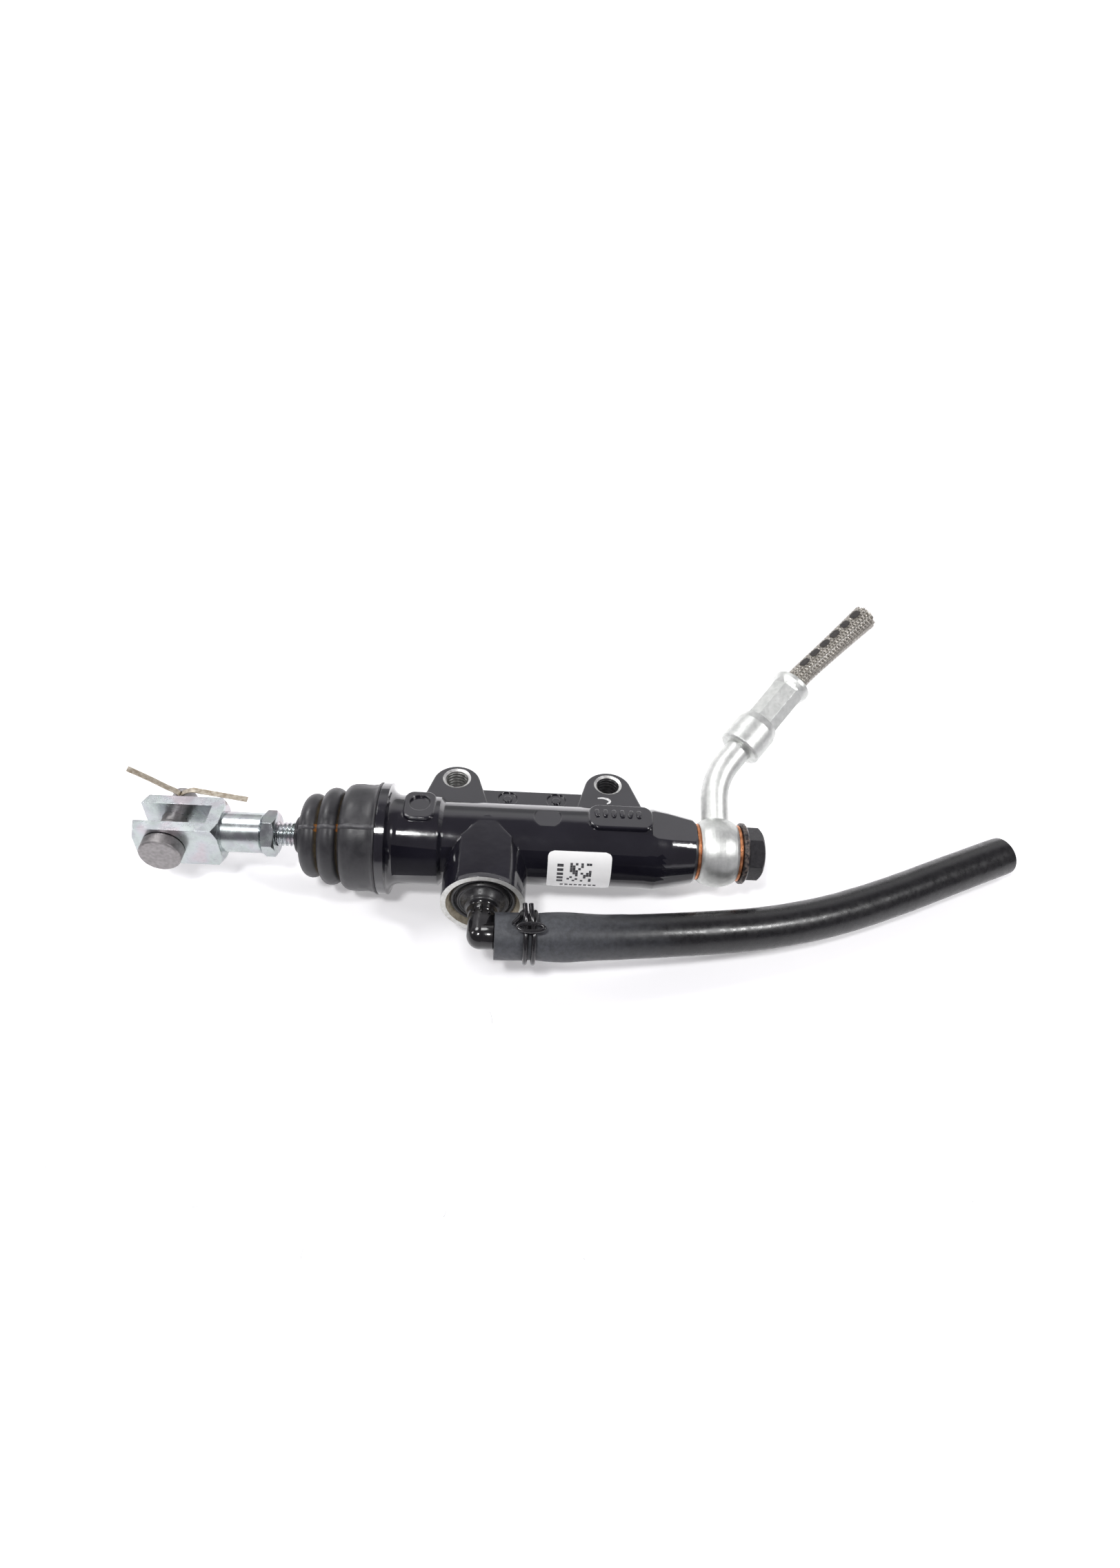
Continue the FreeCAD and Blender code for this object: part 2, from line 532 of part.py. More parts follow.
def build_cotter():
    """Split pin: an eye below, a double leg through the hole, two legs spread above."""
    body = new_body("cotter_pin", (D.pin_x, D.axis_y + D.cotter_y, D.axis_z))
    legs = {
        "left": [(-0.44, -4.4), (-0.44, 3.2), (-3.0, 5.4), (-10.8, 10.9)],
        "right": [(0.44, -4.4), (0.44, 3.2), (2.6, 4.6), (5.6, 4.4), (16.4, 2.2)]}
    for side, route in legs.items():
        spine = sketch_on(body, f"leg_{side}_path", "XZ_Plane")
        points = [Vector(a, b, 0) for a, b in route]
        rounded_path(spine, points, 0.9)
        section = sketch_on(body, f"leg_{side}_section", "XY_Plane", (route[0][0], 0, route[0][1]))
        circle(section, (0, 0), D.cotter_wire)
        leg = body.newObject("PartDesign::AdditivePipe", f"leg_{side}")
        leg.Profile = section
        leg.Spine = (spine, [])
    eye = body.newObject("PartDesign::AdditiveTorus", "eye")
    eye.Radius1 = 1.35
    eye.Radius2 = number_of(D.cotter_wire)
    drive(eye, "Radius2", D.cotter_wire)
    eye.AttachmentSupport = [([f for f in body.Origin.OriginFeatures
                               if f.Role == "XZ_Plane"][0], "")]
    eye.MapMode = "FlatFace"
    eye.AttachmentOffset = Placement(Vector(0, -5.4, 0), Rotation())


def rounded_path(sketch, points, radius):
    """Straight runs joined by tangent arcs, as one chain of sketch edges."""
    previous = points[0]
    for before, corner, after in zip(points, points[1:], points[2:]):
        into = (corner - before).normalize()
        out = (after - corner).normalize()
        half_turn = into.getAngle(out) / 2
        reach = radius * math.tan(half_turn)
        start = corner - into * reach
        end = corner + out * reach
        bisector = (out - into).normalize()
        middle = corner + bisector * (radius / math.cos(half_turn) - radius)
        sketch.addGeometry(Part.LineSegment(previous, start), False)
        sketch.addGeometry(Part.Arc(start, middle, end), False)
        previous = end
    sketch.addGeometry(Part.LineSegment(previous, points[-1]), False)


def build_bore_parts():
    clip = new_body("bore_circlip")
    revolve(clip, "clip_ring", [
        (D.clip_left, D.mouth_rad - 1.5), (D.clip_left + D.clip_thick, D.mouth_rad - 1.5),
        (D.clip_left + D.clip_thick, D.mouth_rad + 0.6), (D.clip_left, D.mouth_rad + 0.6)])
    gap = sketch_on(clip, "clip_gap_outline", "YZ_Plane", (0, 0, D.clip_left - 1))
    outline(gap, [(-1.6, -12), (1.6, -12), (1.6, 0), (-1.6, 0)])
    pocket(clip, "clip_gap", gap, reverse=True)
    stop = new_body("pushrod_stop_washer")
    revolve(stop, "washer", [
        (D.stop_left, D.rod_rad + 0.5), (D.stop_left + D.stop_thick, D.rod_rad + 0.5),
        (D.stop_left + D.stop_thick, D.stop_rad), (D.stop_left, D.stop_rad)])
    build_piston()


def build_piston():
    left, right = D.piston_left, D.piston_right
    body_rad = D.bore_rad - 0.05
    piston = new_body("piston")
    revolve(piston, "piston_turned", [
        (left + 7.6, 0), (left + 7.4, 1.9), (left + 6.6, 3.0), (left + 4.8, 3.9), (left, 4.6),
        (left, body_rad), (left + 7.6, body_rad), (left + 7.6, 4.2), (left + 7.6 + D.cup_long, 4.2),
        (left + 7.6 + D.cup_long, body_rad), (left + 12.8, body_rad), (left + 12.8, 3.8),
        (right - 2.6, 3.8), (right - 2.6, body_rad), (right, body_rad), (right, 2.4),
        (right + 5.4, 2.4), (right + 5.4, 0)])
    second = new_body("secondary_cup")
    start = left + 7.6
    revolve(second, "cup_ring", [
        (start, 4.2), (start + D.cup_long, 4.2), (start + D.cup_long, 4.9),
        (start + 1.2, 5.3), (start + D.cup_long - 0.2, body_rad), (start, body_rad - 0.2)])
    first = new_body("primary_cup")
    revolve(first, "cup_ring", [
        (right, 2.4), (right + 2.0, 2.4), (right + D.cup_long, 3.1), (right + D.cup_long, 3.7),
        (right + 1.5, 4.6), (right + D.cup_long, body_rad - 0.1), (right, body_rad - 0.2)])
    seat = new_body("spring_seat")
    base = right + D.cup_long
    revolve(seat, "seat_ring", [
        (base, 2.4), (base + 1.6, 2.4), (base + 1.6, 3.6), (base + 0.8, 3.6),
        (base + 0.8, 5.6), (base, 5.6)])
    build_spring(base + 0.8)


def build_spring(start):
    """Return spring at its rest length, a round wire bent along a helix about the bore."""
    per_turn = 12
    steps = int(number_of(D.spring_turns)) * per_turn
    left = number_of(start + D.spring_wire * 1.1)
    run = number_of(D.bore_end - D.spring_wire * 1.1) - left
    points = []
    for i in range(steps + 1):
        angle = 2 * math.pi * i / per_turn
        around = Vector(0, math.cos(angle), math.sin(angle)) * number_of(D.spring_rad)
        points.append(around + Vector(left + run * i / steps, 0, 0))
    line = doc.addObject("Part::Polygon", "spring_line")
    line.Nodes = points
    wire = doc.addObject("Part::Circle", "spring_section")
    drive(wire, "Radius", D.spring_wire)
    first = points[1] - points[0]
    wire.Placement = Placement(points[0], Rotation(Vector(0, 0, 1), first))
    coil = doc.addObject("Part::Sweep", "return_spring")
    coil.Sections, coil.Spine = [wire], (line, [])
    coil.Solid, coil.Frenet, coil.Transition = True, False, "Right corner"
    coil.Label = "return_spring"
    place(coil, (0, D.axis_y, D.axis_z))
    NODES.append(coil)


def build_inlet():
    here = (D.boss_x, D.axis_y, D.axis_z)
    grommet = new_body("inlet_grommet", here)
    socket = D.elbow_rad + 0.55
    revolve(grommet, "grommet_rubber", [
        (socket + 1.3, D.boss_floor), (D.boss_bore_rad, D.boss_floor),
        (D.boss_bore_rad, D.boss_seat), (D.boss_bore_rad - 0.5, D.boss_seat - 0.5),
        (D.boss_bore_rad - 1.2, D.boss_seat - 0.5), (D.boss_bore_rad - 1.5, D.boss_seat - 0.1),
        (D.boss_bore_rad - 1.9, D.boss_seat - 0.7), (D.boss_bore_rad - 2.6, D.boss_seat - 1.7),
        (D.boss_bore_rad - 3.3, D.boss_seat - 2.3), (socket, D.boss_seat - 2.5),
        (socket, D.boss_floor - 2.6), (socket + 1.3, D.boss_floor - 2.6)], axis="V_Axis")
    elbow = new_body("inlet_elbow", here)
    revolve(elbow, "elbow_foot", [
        (0, D.boss_floor - 0.3), (socket + 1.0, D.boss_floor - 0.3),
        (socket + 1.0, D.boss_floor - 2.3), (socket - 0.1, D.boss_floor - 2.5),
        (socket - 0.1, D.boss_seat - 3.2), (D.elbow_rad, D.boss_seat - 3.5),
        (D.elbow_rad, D.arm_y), (0, D.arm_y)], axis="V_Axis")
    ball = elbow.newObject("PartDesign::AdditiveSphere", "elbow_corner")
    ball.Radius = number_of(D.elbow_rad)
    drive(ball, "Radius", D.elbow_rad)
    plane = [f for f in elbow.Origin.OriginFeatures if f.Role == "XY_Plane"][0]
    ball.AttachmentSupport = [(plane, "")]
    ball.MapMode = "FlatFace"
    ball.AttachmentOffset = Placement(Vector(0, number_of(D.arm_y), 0), Rotation())
    drive(ball, "AttachmentOffset.Base.y", D.arm_y)
    hose_start = D.elbow_rad + 0.05
    revolve(elbow, "elbow_arm", [
        (0, 0), (0, D.elbow_rad), (hose_start, D.elbow_rad), (hose_start, D.barb_rad - 0.35),
        (hose_start + 6, D.barb_rad - 0.35), (hose_start + 6, D.barb_rad),
        (hose_start + 9.5, D.barb_rad - 0.6), (hose_start + 9.5, D.barb_rad - 0.9),
        (hose_start + 13, D.barb_rad - 0.9), (hose_start + 13, 0)], at=(0, D.arm_y, 0))
    revolve(elbow, "arm_bore", [
        (-D.elbow_bore, 0), (-D.elbow_bore, D.elbow_bore), (hose_start + 14, D.elbow_bore),
        (hose_start + 14, 0)], at=(0, D.arm_y, 0), cut=True)
    revolve(elbow, "foot_bore", [
        (0, D.boss_floor + 1), (D.elbow_bore, D.boss_floor + 1), (D.elbow_bore, D.arm_y), (0, D.arm_y)],
        axis="V_Axis", cut=True)


HOSE_ROUTE = [
    (-7.4, -49.0, -2.5), (7.4, -48.4, -2.9), (22.4, -46.6, -4.3), (38.8, -43.4, -6.3),
    (56.4, -39.5, -8.5), (74.4, -33.8, -10.1), (93.0, -25.8, -10.9), (111.4, -16.9, -11.08),
    (128.0, -9.3, -11.08)]


def arc_path(points):
    """A wire of straight runs joined by arcs as large as the two runs allow."""
    edges = []
    previous = points[0]
    for i in range(1, len(points) - 1):
        before, corner, after = points[i - 1], points[i], points[i + 1]
        into = (corner - before).normalize()
        out = (after - corner).normalize()
        half_turn = into.getAngle(out) / 2
        reach = 0.45 * min((corner - before).Length, (after - corner).Length)
        radius = reach / math.tan(half_turn)
        print(f"route point {i}: turn {math.degrees(2 * half_turn):.1f} deg, radius {radius:.0f} mm")
        start = corner - into * reach
        end = corner + out * reach
        bisector = (out - into).normalize()
        middle = corner + bisector * (radius / math.cos(half_turn) - radius)
        edges.append(Part.LineSegment(previous, start).toShape())
        edges.append(Part.Arc(start, middle, end).toShape())
        previous = end
    edges.append(Part.LineSegment(previous, points[-1]).toShape())
    return Part.Wire(edges)


def build_feed_hose():
    """Rubber feed hose lying free: a plain tube along its route."""
    origin = Vector(number_of(D.boss_x), number_of(D.axis_y), number_of(D.axis_z))
    points = [Vector(*p) - origin for p in HOSE_ROUTE]
    path = arc_path(points)
    first = (points[1] - points[0]).normalize()
    sections = []
    for radius in (number_of(D.hose_rad), number_of(D.hose_bore)):
        ring = Part.Wire([Part.Circle(points[0], first, radius).toShape()])
        sections.append(path.makePipeShell([ring], True, True))
    hose = doc.addObject("Part::Feature", "feed_hose")
    hose.Label = "feed_hose"
    hose.Shape = sections[0].cut(sections[1])
    place(hose, (D.boss_x, D.axis_y, D.axis_z))
    NODES.append(hose)
    area = math.pi * (number_of(D.hose_rad) ** 2 - number_of(D.hose_bore) ** 2)
    ratio = hose.Shape.Volume / area / path.Length
    print(f"feed hose length {path.Length:.1f} mm, volume ratio {ratio:.4f}")


def build_hose_clip():
    """Double-wire spring clip: two coils, a cross loop and two upright ends."""
    base = (D.boss_x + 11.2, D.axis_y + D.arm_y, D.axis_z)
    ring_rad = D.hose_rad + D.wire_rad + 0.02
    parts = []
    for side in (-0.5, 0.5):
        ring = doc.addObject("Part::Torus", "clip_coil")
        ring.Radius1 = number_of(ring_rad)
        ring.Radius2 = number_of(D.wire_rad)
        drive(ring, "Radius1", ring_rad)
        drive(ring, "Radius2", D.wire_rad)
        ring.Placement = Placement(Vector(number_of(D.clip_gap) * side, 0, 0),
                                   Rotation(Vector(0, 1, 0), 90))
        drive(ring, "Placement.Base.x", D.clip_gap * side)
        parts.append(ring)
        end = doc.addObject("Part::Cylinder", "clip_end")
        end.Radius = number_of(D.wire_rad)
        drive(end, "Radius", D.wire_rad)
        end.Height = 8.4
        end.Placement = Placement(Vector(number_of(D.clip_gap) * side * 0.85, -4.36, 4.16),
                                  Rotation(Vector(1, 0, 0), -43.7))
        parts.append(end)
    loop = doc.addObject("Part::Torus", "clip_loop")
    loop.Radius1 = 1.5
    loop.Radius2 = number_of(D.wire_rad)
    drive(loop, "Radius2", D.wire_rad)
    loop.Placement = Placement(Vector(0, -3.9, 4.9), Rotation(Vector(1, 0, 0), -43.7))
    parts.append(loop)
    bridge = doc.addObject("Part::Cylinder", "clip_bridge")
    bridge.Radius = number_of(D.wire_rad * 0.9)
    bridge.Height = number_of(D.clip_gap)
    drive(bridge, "Radius", D.wire_rad * 0.9)
    drive(bridge, "Height", D.clip_gap)
    bridge.Placement = Placement(Vector(-number_of(D.clip_gap) / 2, 0, number_of(ring_rad)),
                                 Rotation(Vector(0, 1, 0), 90))
    parts.append(bridge)
    clip = doc.addObject("Part::MultiFuse", "hose_clip")
    clip.Label = "hose_clip"
    clip.Shapes = parts
    place(clip, base)
    NODES.append(clip)


def build_outlet():
    face = D.face_x
    eye_left = face + D.washer_thick
    eye_right = eye_left + D.eye_wide
    for name, x in (("copper_washer_inner", face), ("copper_washer_outer", eye_right)):
        washer = new_body(name)
        ring = x + D.washer_thick
        revolve(washer, "washer_ring", [
            (x, D.eye_hole), (ring, D.eye_hole), (ring, D.washer_rad - 0.25),
            (ring - 0.25, D.washer_rad), (x + 0.25, D.washer_rad), (x, D.washer_rad - 0.25)])
    middle = (eye_left + eye_right) / 2
    turn = Rotation(Vector(1, 0, 0), number_of(D.neck_angle))
    eye = new_body("banjo_eye", (middle, D.axis_y, D.axis_z), turn)
    half = D.eye_wide / 2
    stations = [k / 6 for k in range(-5, 6)]
    crown = [(-half, D.eye_hole), (-half, 7.2)]
    for k in stations:
        angle = math.asin(number_of(half) / number_of(D.eye_rad)) * k
        crown.append((D.eye_rad * math.sin(angle), D.eye_rad * math.cos(angle)))
    crown += [(half, 7.2), (half, D.eye_hole)]
    revolve(eye, "eye_ball", crown)
    revolve(eye, "fluid_ring", [(-2.2, 4), (2.2, 4), (2.2, 6.0), (-2.2, 6.0)], cut=True)
    mouth = sketch_on(eye, "neck_socket_outline", "XZ_Plane")
    circle(mouth, (0, 0), D.neck_rad)
    pocket(eye, "neck_socket", mouth, 12)
    build_neck(middle, turn)
    build_bolt(eye_right + D.washer_thick)


def neck_points():
    """Row-frame points and directions of the neck, the ferrule and the hose stub."""
    bend = math.radians(number_of(D.neck_bend))
    along = Vector(math.sin(bend), math.cos(bend), 0)
    corner = Vector(0, number_of(D.neck_run), 0)
    start = corner + along * number_of(D.ferrule_start)
    return corner, along, start


def build_neck(middle, turn):
    corner, along, start = neck_points()
    neck = new_body("banjo_neck_tube", (middle, D.axis_y, D.axis_z), turn)
    spine = sketch_on(neck, "neck_path", "XY_Plane")
    rounded_path(spine, [Vector(0, 7.0, 0), corner, start + along * 8.0],
                 number_of(D.neck_curve))
    section = sketch_on(neck, "neck_section", "XZ_Plane", (0, 0, -7.0))
    circle(section, (0, 0), D.neck_rad)
    circle(section, (0, 0), D.neck_bore)
    pipe = neck.newObject("PartDesign::AdditivePipe", "neck_pipe")
    pipe.Profile = section
    pipe.Spine = (spine, [])
    base = Vector(number_of(middle), number_of(D.axis_y), number_of(D.axis_z))
    lean = Rotation(Vector(0, 0, 1), 90 - number_of(D.neck_bend))
    build_ferrule(base + turn.multVec(start), turn.multiply(lean))


def build_ferrule(where, turn):
    end = D.ferrule_long
    ferrule = new_body("crimp_ferrule", tuple(where), turn)
    revolve(ferrule, "ferrule_turned", [
        (0, D.neck_rad), (0, D.collar_rad - 0.4), (0.4, D.collar_rad), (7.4, D.collar_rad),
        (10.2, D.crimp_flats * 0.54), (end - 2.6, D.crimp_flats * 0.54), (end - 1.2, D.lip_flare),
        (end - 0.3, D.lip_flare), (end, D.lip_flare - 0.3), (end, D.stub_rad + 0.15),
        (9, D.stub_rad + 0.15), (9, D.neck_rad)])
    flats = sketch_on(ferrule, "crimp_outline", "XY_Plane")
    outline(flats, [(9.4, D.crimp_flats / 2), (10.6, D.crimp_flats / 2 - 0.05),
                    (end - 3.2, D.crimp_flats / 2 - 0.05), (end - 2.0, D.crimp_flats / 2 + 0.5),
                    (end - 2.0, 8), (9.4, 8)])
    first = pocket(ferrule, "crimp_flat", flats, 8, midplane=True)
    ring = ferrule.newObject("PartDesign::PolarPattern", "crimp_flats")
    ring.Originals = [first]
    ring.Axis = ([f for f in ferrule.Origin.OriginFeatures if f.Role == "X_Axis"][0], [""])
    ring.Angle = 360
    ring.Occurrences = 8
    ferrule.Tip = ring
    base = where + turn.multVec(Vector(number_of(end) - 14, 0, 0))
    for name, outer, inner, extra in (
            ("brake_hose_cover", D.stub_rad, D.braid_rad, 0.0),
            ("brake_hose_braid", D.braid_rad, D.liner_rad, 0.5),
            ("brake_hose_liner", D.liner_rad, D.liner_bore, 1.0)):
        build_stub(name, base, turn, outer, inner, extra)


def build_stub(name, where, turn, outer, inner, extra):
    """One layer of the short braided brake hose, straight in the ferrule then bent."""
    body = new_body(name, tuple(where), turn)
    bend = math.radians(number_of(D.stub_bend))
    long = number_of(D.stub_long) + extra
    corner = Vector(17.0, 0, 0)
    end = Vector(14.0, 0, 0) + Vector(math.cos(bend), -math.sin(bend), 0) * long
    out = (end - corner).normalize()
    spine = sketch_on(body, name + "_path", "XY_Plane")
    rounded_path(spine, [Vector(5.2, 0, 0), corner, corner + out * (end - corner).Length], 60.0)
    section = sketch_on(body, name + "_section", "YZ_Plane", (0, 0, 5.2))
    circle(section, (0, 0), outer)
    circle(section, (0, 0), inner)
    pipe = body.newObject("PartDesign::AdditivePipe", name + "_pipe")
    pipe.Profile = section
    pipe.Spine = (spine, [])


def build_bolt(left):
    bolt = new_body("banjo_bolt")
    flange = left + D.bolt_flange_thick
    end = flange + D.hex_long
    section = sketch_on(bolt, "hex_section", "YZ_Plane", (0, 0, flange - 0.4))
    outline(section, hexagon(D.hex_flats, 30 - number_of(D.hex_turn)))
    pad(bolt, "hex_head", section, D.hex_long + 0.4)
    revolve(bolt, "hex_chamfer", [(end, D.hex_flats * 0.47), (end, D.hex_flats * 0.7),
                                  (end - 1.5, D.hex_flats * 0.7)], cut=True)
    revolve(bolt, "bolt_turned", [
        (D.bolt_end, 0), (D.bolt_end, D.bolt_rad - 0.7), (D.bolt_end + 0.7, D.bolt_rad),
        (D.face_x - 0.5, D.bolt_rad), (D.face_x + 0.6, 4.3), (left - 0.6, 4.3), (left, D.bolt_rad),
        (left, D.bolt_flange - 0.4), (left + 0.3, D.bolt_flange), (flange - 0.6, D.bolt_flange),
        (flange, D.bolt_flange - 0.7), (flange, 0)])
    revolve(bolt, "fluid_drilling", [
        (D.bolt_end - 1, 0), (D.bolt_end - 1, D.bolt_bore), (left - 3.5, D.bolt_bore),
        (left - 2.6, 0)], cut=True)
    cross = sketch_on(bolt, "cross_hole_outline", "XY_Plane")
    circle(cross, (left - 1 - D.eye_wide / 2, 0), 1.1)
    pocket(bolt, "cross_hole", cross, midplane=True)


def check_all():
    doc.recompute()
    for obj in doc.Objects:
        bad = [state for state in obj.State if state in ("Invalid", "Error")]
        if bad:
            raise RuntimeError(f"{obj.Name} ({obj.Label}) is {bad}")
    for node in NODES:
        if node.Shape.isNull() or not node.Shape.isValid():
            raise RuntimeError(f"{node.Label} has no valid shape")


def write_all():
    os.makedirs("parts", exist_ok=True)
    for node in NODES:
        node.Shape.exportStep(f"parts/{node.Label}.step")
        box = node.Shape.BoundBox
        print(f"{node.Label:22s} solids {len(node.Shape.Solids)} volume {node.Shape.Volume:9.2f}  "
              f"x {box.XMin:.1f} {box.XMax:.1f}  y {box.YMin:.1f} {box.YMax:.1f}  "
              f"z {box.ZMin:.1f} {box.ZMax:.1f}")


build_cylinder()
build_boot()
build_pushrod()
build_bore_parts()
build_inlet()
build_feed_hose()
build_hose_clip()
build_outlet()
check_all()
write_all()
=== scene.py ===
"""Looks of a motorcycle rear brake master cylinder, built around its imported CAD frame."""
import math
import random

import bpy
from mathutils import Matrix, Vector, noise


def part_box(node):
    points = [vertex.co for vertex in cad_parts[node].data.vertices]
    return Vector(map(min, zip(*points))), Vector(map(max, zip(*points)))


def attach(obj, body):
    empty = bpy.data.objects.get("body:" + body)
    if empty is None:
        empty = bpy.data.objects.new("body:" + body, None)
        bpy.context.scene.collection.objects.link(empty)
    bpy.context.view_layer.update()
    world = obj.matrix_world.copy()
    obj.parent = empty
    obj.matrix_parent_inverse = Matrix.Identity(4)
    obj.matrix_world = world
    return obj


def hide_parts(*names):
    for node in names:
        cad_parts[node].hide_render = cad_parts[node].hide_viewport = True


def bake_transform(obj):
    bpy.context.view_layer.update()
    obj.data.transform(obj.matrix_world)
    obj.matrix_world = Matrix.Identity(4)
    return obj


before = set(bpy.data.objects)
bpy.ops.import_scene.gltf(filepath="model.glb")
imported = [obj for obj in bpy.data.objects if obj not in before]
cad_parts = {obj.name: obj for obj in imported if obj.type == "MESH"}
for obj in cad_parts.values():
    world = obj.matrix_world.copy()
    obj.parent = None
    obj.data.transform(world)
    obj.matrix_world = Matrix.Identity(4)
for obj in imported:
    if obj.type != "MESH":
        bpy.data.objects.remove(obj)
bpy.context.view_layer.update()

MM = 0.001
X, Y, Z = Vector((1, 0, 0)), Vector((0, 1, 0)), Vector((0, 0, 1))
FULL = 2 * math.pi
SQUARE = ((-1, -1), (1, -1), (1, 1), (-1, 1))
draw = random.Random(11)


def span(node):
    low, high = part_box(node)
    return low / MM, high / MM


def middle(node):
    low, high = span(node)
    return (low + high) / 2


# places that the frame gives, in millimetres
BORE = Vector((0, middle("piston").y, middle("piston").z))
BOSS = Vector((middle("inlet_grommet").x, BORE.y, BORE.z))
RIM_Y = BORE.y - 19.8        # bright rim of the inlet boss
SEAT_Y = BORE.y - 18.3       # face that the grommet's lips lie in
EAR_HOLES = [Vector((side * 20.0, 0, 0)) for side in (-1, 1)]
EYE = Vector((middle("banjo_eye").x, BORE.y, BORE.z))
PIN_X = middle("clevis_pin").x
FLOOR_Z = -16.6


# ---------------------------------------------------------------- materials

class Shader:
    """A material being built: one Principled shader and the nodes that vary it."""

    def __init__(self, name, colour, rough, metal=0.0, **constants):
        self.material = bpy.data.materials.new(name)
        self.material.use_nodes = True
        self.tree = self.material.node_tree
        self.bsdf = self.tree.nodes["Principled BSDF"]
        self.set("Base Color", (*colour, 1.0))
        self.set("Roughness", rough)
        self.set("Metallic", metal)
        for socket, value in constants.items():
            self.set(socket.replace("_", " "), value)
        self.place = self.node("TexCoord").outputs["Object"]
        self.normal = None
        self.material.diffuse_color = (*colour, 1.0)

    def put(self, socket, value):
        """Links a node's output to a socket, or sets the socket's own value."""
        if isinstance(value, bpy.types.NodeSocket):
            self.tree.links.new(value, socket)
        else:
            socket.default_value = value

    def set(self, socket, value):
        self.put(self.bsdf.inputs[socket], value)

    def node(self, kind, inputs=None, **settings):
        made = self.tree.nodes.new("ShaderNode" + kind)
        for name, value in settings.items():
            setattr(made, name, value)
        for name, value in (inputs or {}).items():
            self.put(made.inputs[name], value)
        return made

    def math(self, operation, first, second=0.0):
        return self.node("Math", {0: first, 1: second}, operation=operation).outputs[0]

    def times(self, first, second):
        return self.math("MULTIPLY", first, second)

    def stretched(self, scale):
        """The object's own coordinates, scaled along each axis."""
        return self.node("Mapping", {"Vector": self.place, "Scale": scale}).outputs[0]

    def noise(self, size, detail=3.0, rough=0.55, at=None):
        """Noise whose features are about 'size' millimetres."""
        return self.node("TexNoise", {"Vector": at or self.place, "Scale": 1 / (size * MM),
                                      "Detail": detail, "Roughness": rough}).outputs["Fac"]

    def ramp(self, factor, *stops):
        """Numbers or colours against positions from 0 to 1."""
        made = self.node("ValToRGB", {"Fac": factor})
        bar = made.color_ramp.elements
        while len(bar) < len(stops):
            bar.new(0.5)
        for element, (at, value) in zip(bar, stops):
            element.position = at
            level = value if isinstance(value, tuple) else (value, value, value)
            element.color = (*level, 1.0)
        return made.outputs["Color"]

    def mix(self, factor, first, second, blend="MIX"):
        first, second = (c if isinstance(c, bpy.types.NodeSocket) else (*c, 1.0)
                         for c in (first, second))
        return self.node("Mix", {0: factor, 6: first, 7: second}, data_type="RGBA",
                         blend_type=blend).outputs[2]

    def vector(self, operation, first, second=(0, 0, 0)):
        return self.node("VectorMath", {0: first, 1: second}, operation=operation).outputs

    def from_bore(self):
        """Distance in millimetres from the centre line of the bore."""
        shifted = self.vector("SUBTRACT", self.place, tuple(BORE * MM))[0]
        kept = self.vector("MULTIPLY", shifted, (0, 1, 1))[0]
        return self.times(self.vector("LENGTH", kept)["Value"], 1 / MM)

    def along(self, direction, start):
        """Millimetres along a direction from a point."""
        shifted = self.vector("SUBTRACT", self.place, tuple(start * MM))[0]
        reach = self.vector("DOT_PRODUCT", shifted, tuple(direction))["Value"]
        return self.times(reach, 1 / MM)

    def soften_edges(self, radius):
        self.normal = self.node("Bevel", {"Radius": radius * MM}, samples=4).outputs[0]

    def bump(self, height, depth, strength=1.0):
        """Height in 0..1 raised by 'depth' millimetres; calls add up."""
        links = {"Height": height, "Distance": depth * MM, "Strength": strength}
        if self.normal:
            links["Normal"] = self.normal
        self.normal = self.node("Bump", links).outputs[0]

    def done(self):
        if self.normal:
            self.tree.links.new(self.normal, self.bsdf.inputs["Normal"])
        return self.material


def gloss_black(name="cast_black", shine=0.62, coat=0.5):
    """Thick black paint over a casting: soft waves, fine peel, a few dull patches."""
    s = Shader(name, (0.0045, 0.0045, 0.006), 0.13, Coat_Weight=coat, Coat_Roughness=0.05,
               Specular_IOR_Level=shine)
    patches = s.noise(9, 4)
    s.set("Base Color", s.ramp(patches, (0.3, (0.0055, 0.005, 0.0085)),
                               (0.75, (0.011, 0.0105, 0.0155))))
    s.set("Roughness", s.ramp(s.noise(3.5, 5), (0.3, 0.07), (0.7, 0.15)))
    s.soften_edges(0.55)
    s.bump(s.noise(5.0, 2), 0.09, 0.5)
    s.bump(s.noise(0.55, 2), 0.008, 0.5)
    return s.done()


def blotched(name, colour, rough, metal=0.0, tones=None, gloss=None, edge=0.0, bumps=(),
             **constants):
    """A finish that varies by noise, with softened edges and bumps.

    tones and gloss are (size, detail, stop, stop), for the colour and the roughness; a bump is
    (size, detail, depth, strength) and the stretch of its noise, where it has one.
    """
    s = Shader(name, colour, rough, metal, **constants)
    for socket, spots in (("Base Color", tones), ("Roughness", gloss)):
        if spots:
            size, detail, *stops = spots
            s.set(socket, s.ramp(s.noise(size, detail), *stops))
    if edge:
        s.soften_edges(edge)
    for size, detail, depth, strength, *stretch in bumps:
        at = s.stretched(stretch[0]) if stretch else None
        s.bump(s.noise(size, detail, at=at), depth, strength)
    return s.done()


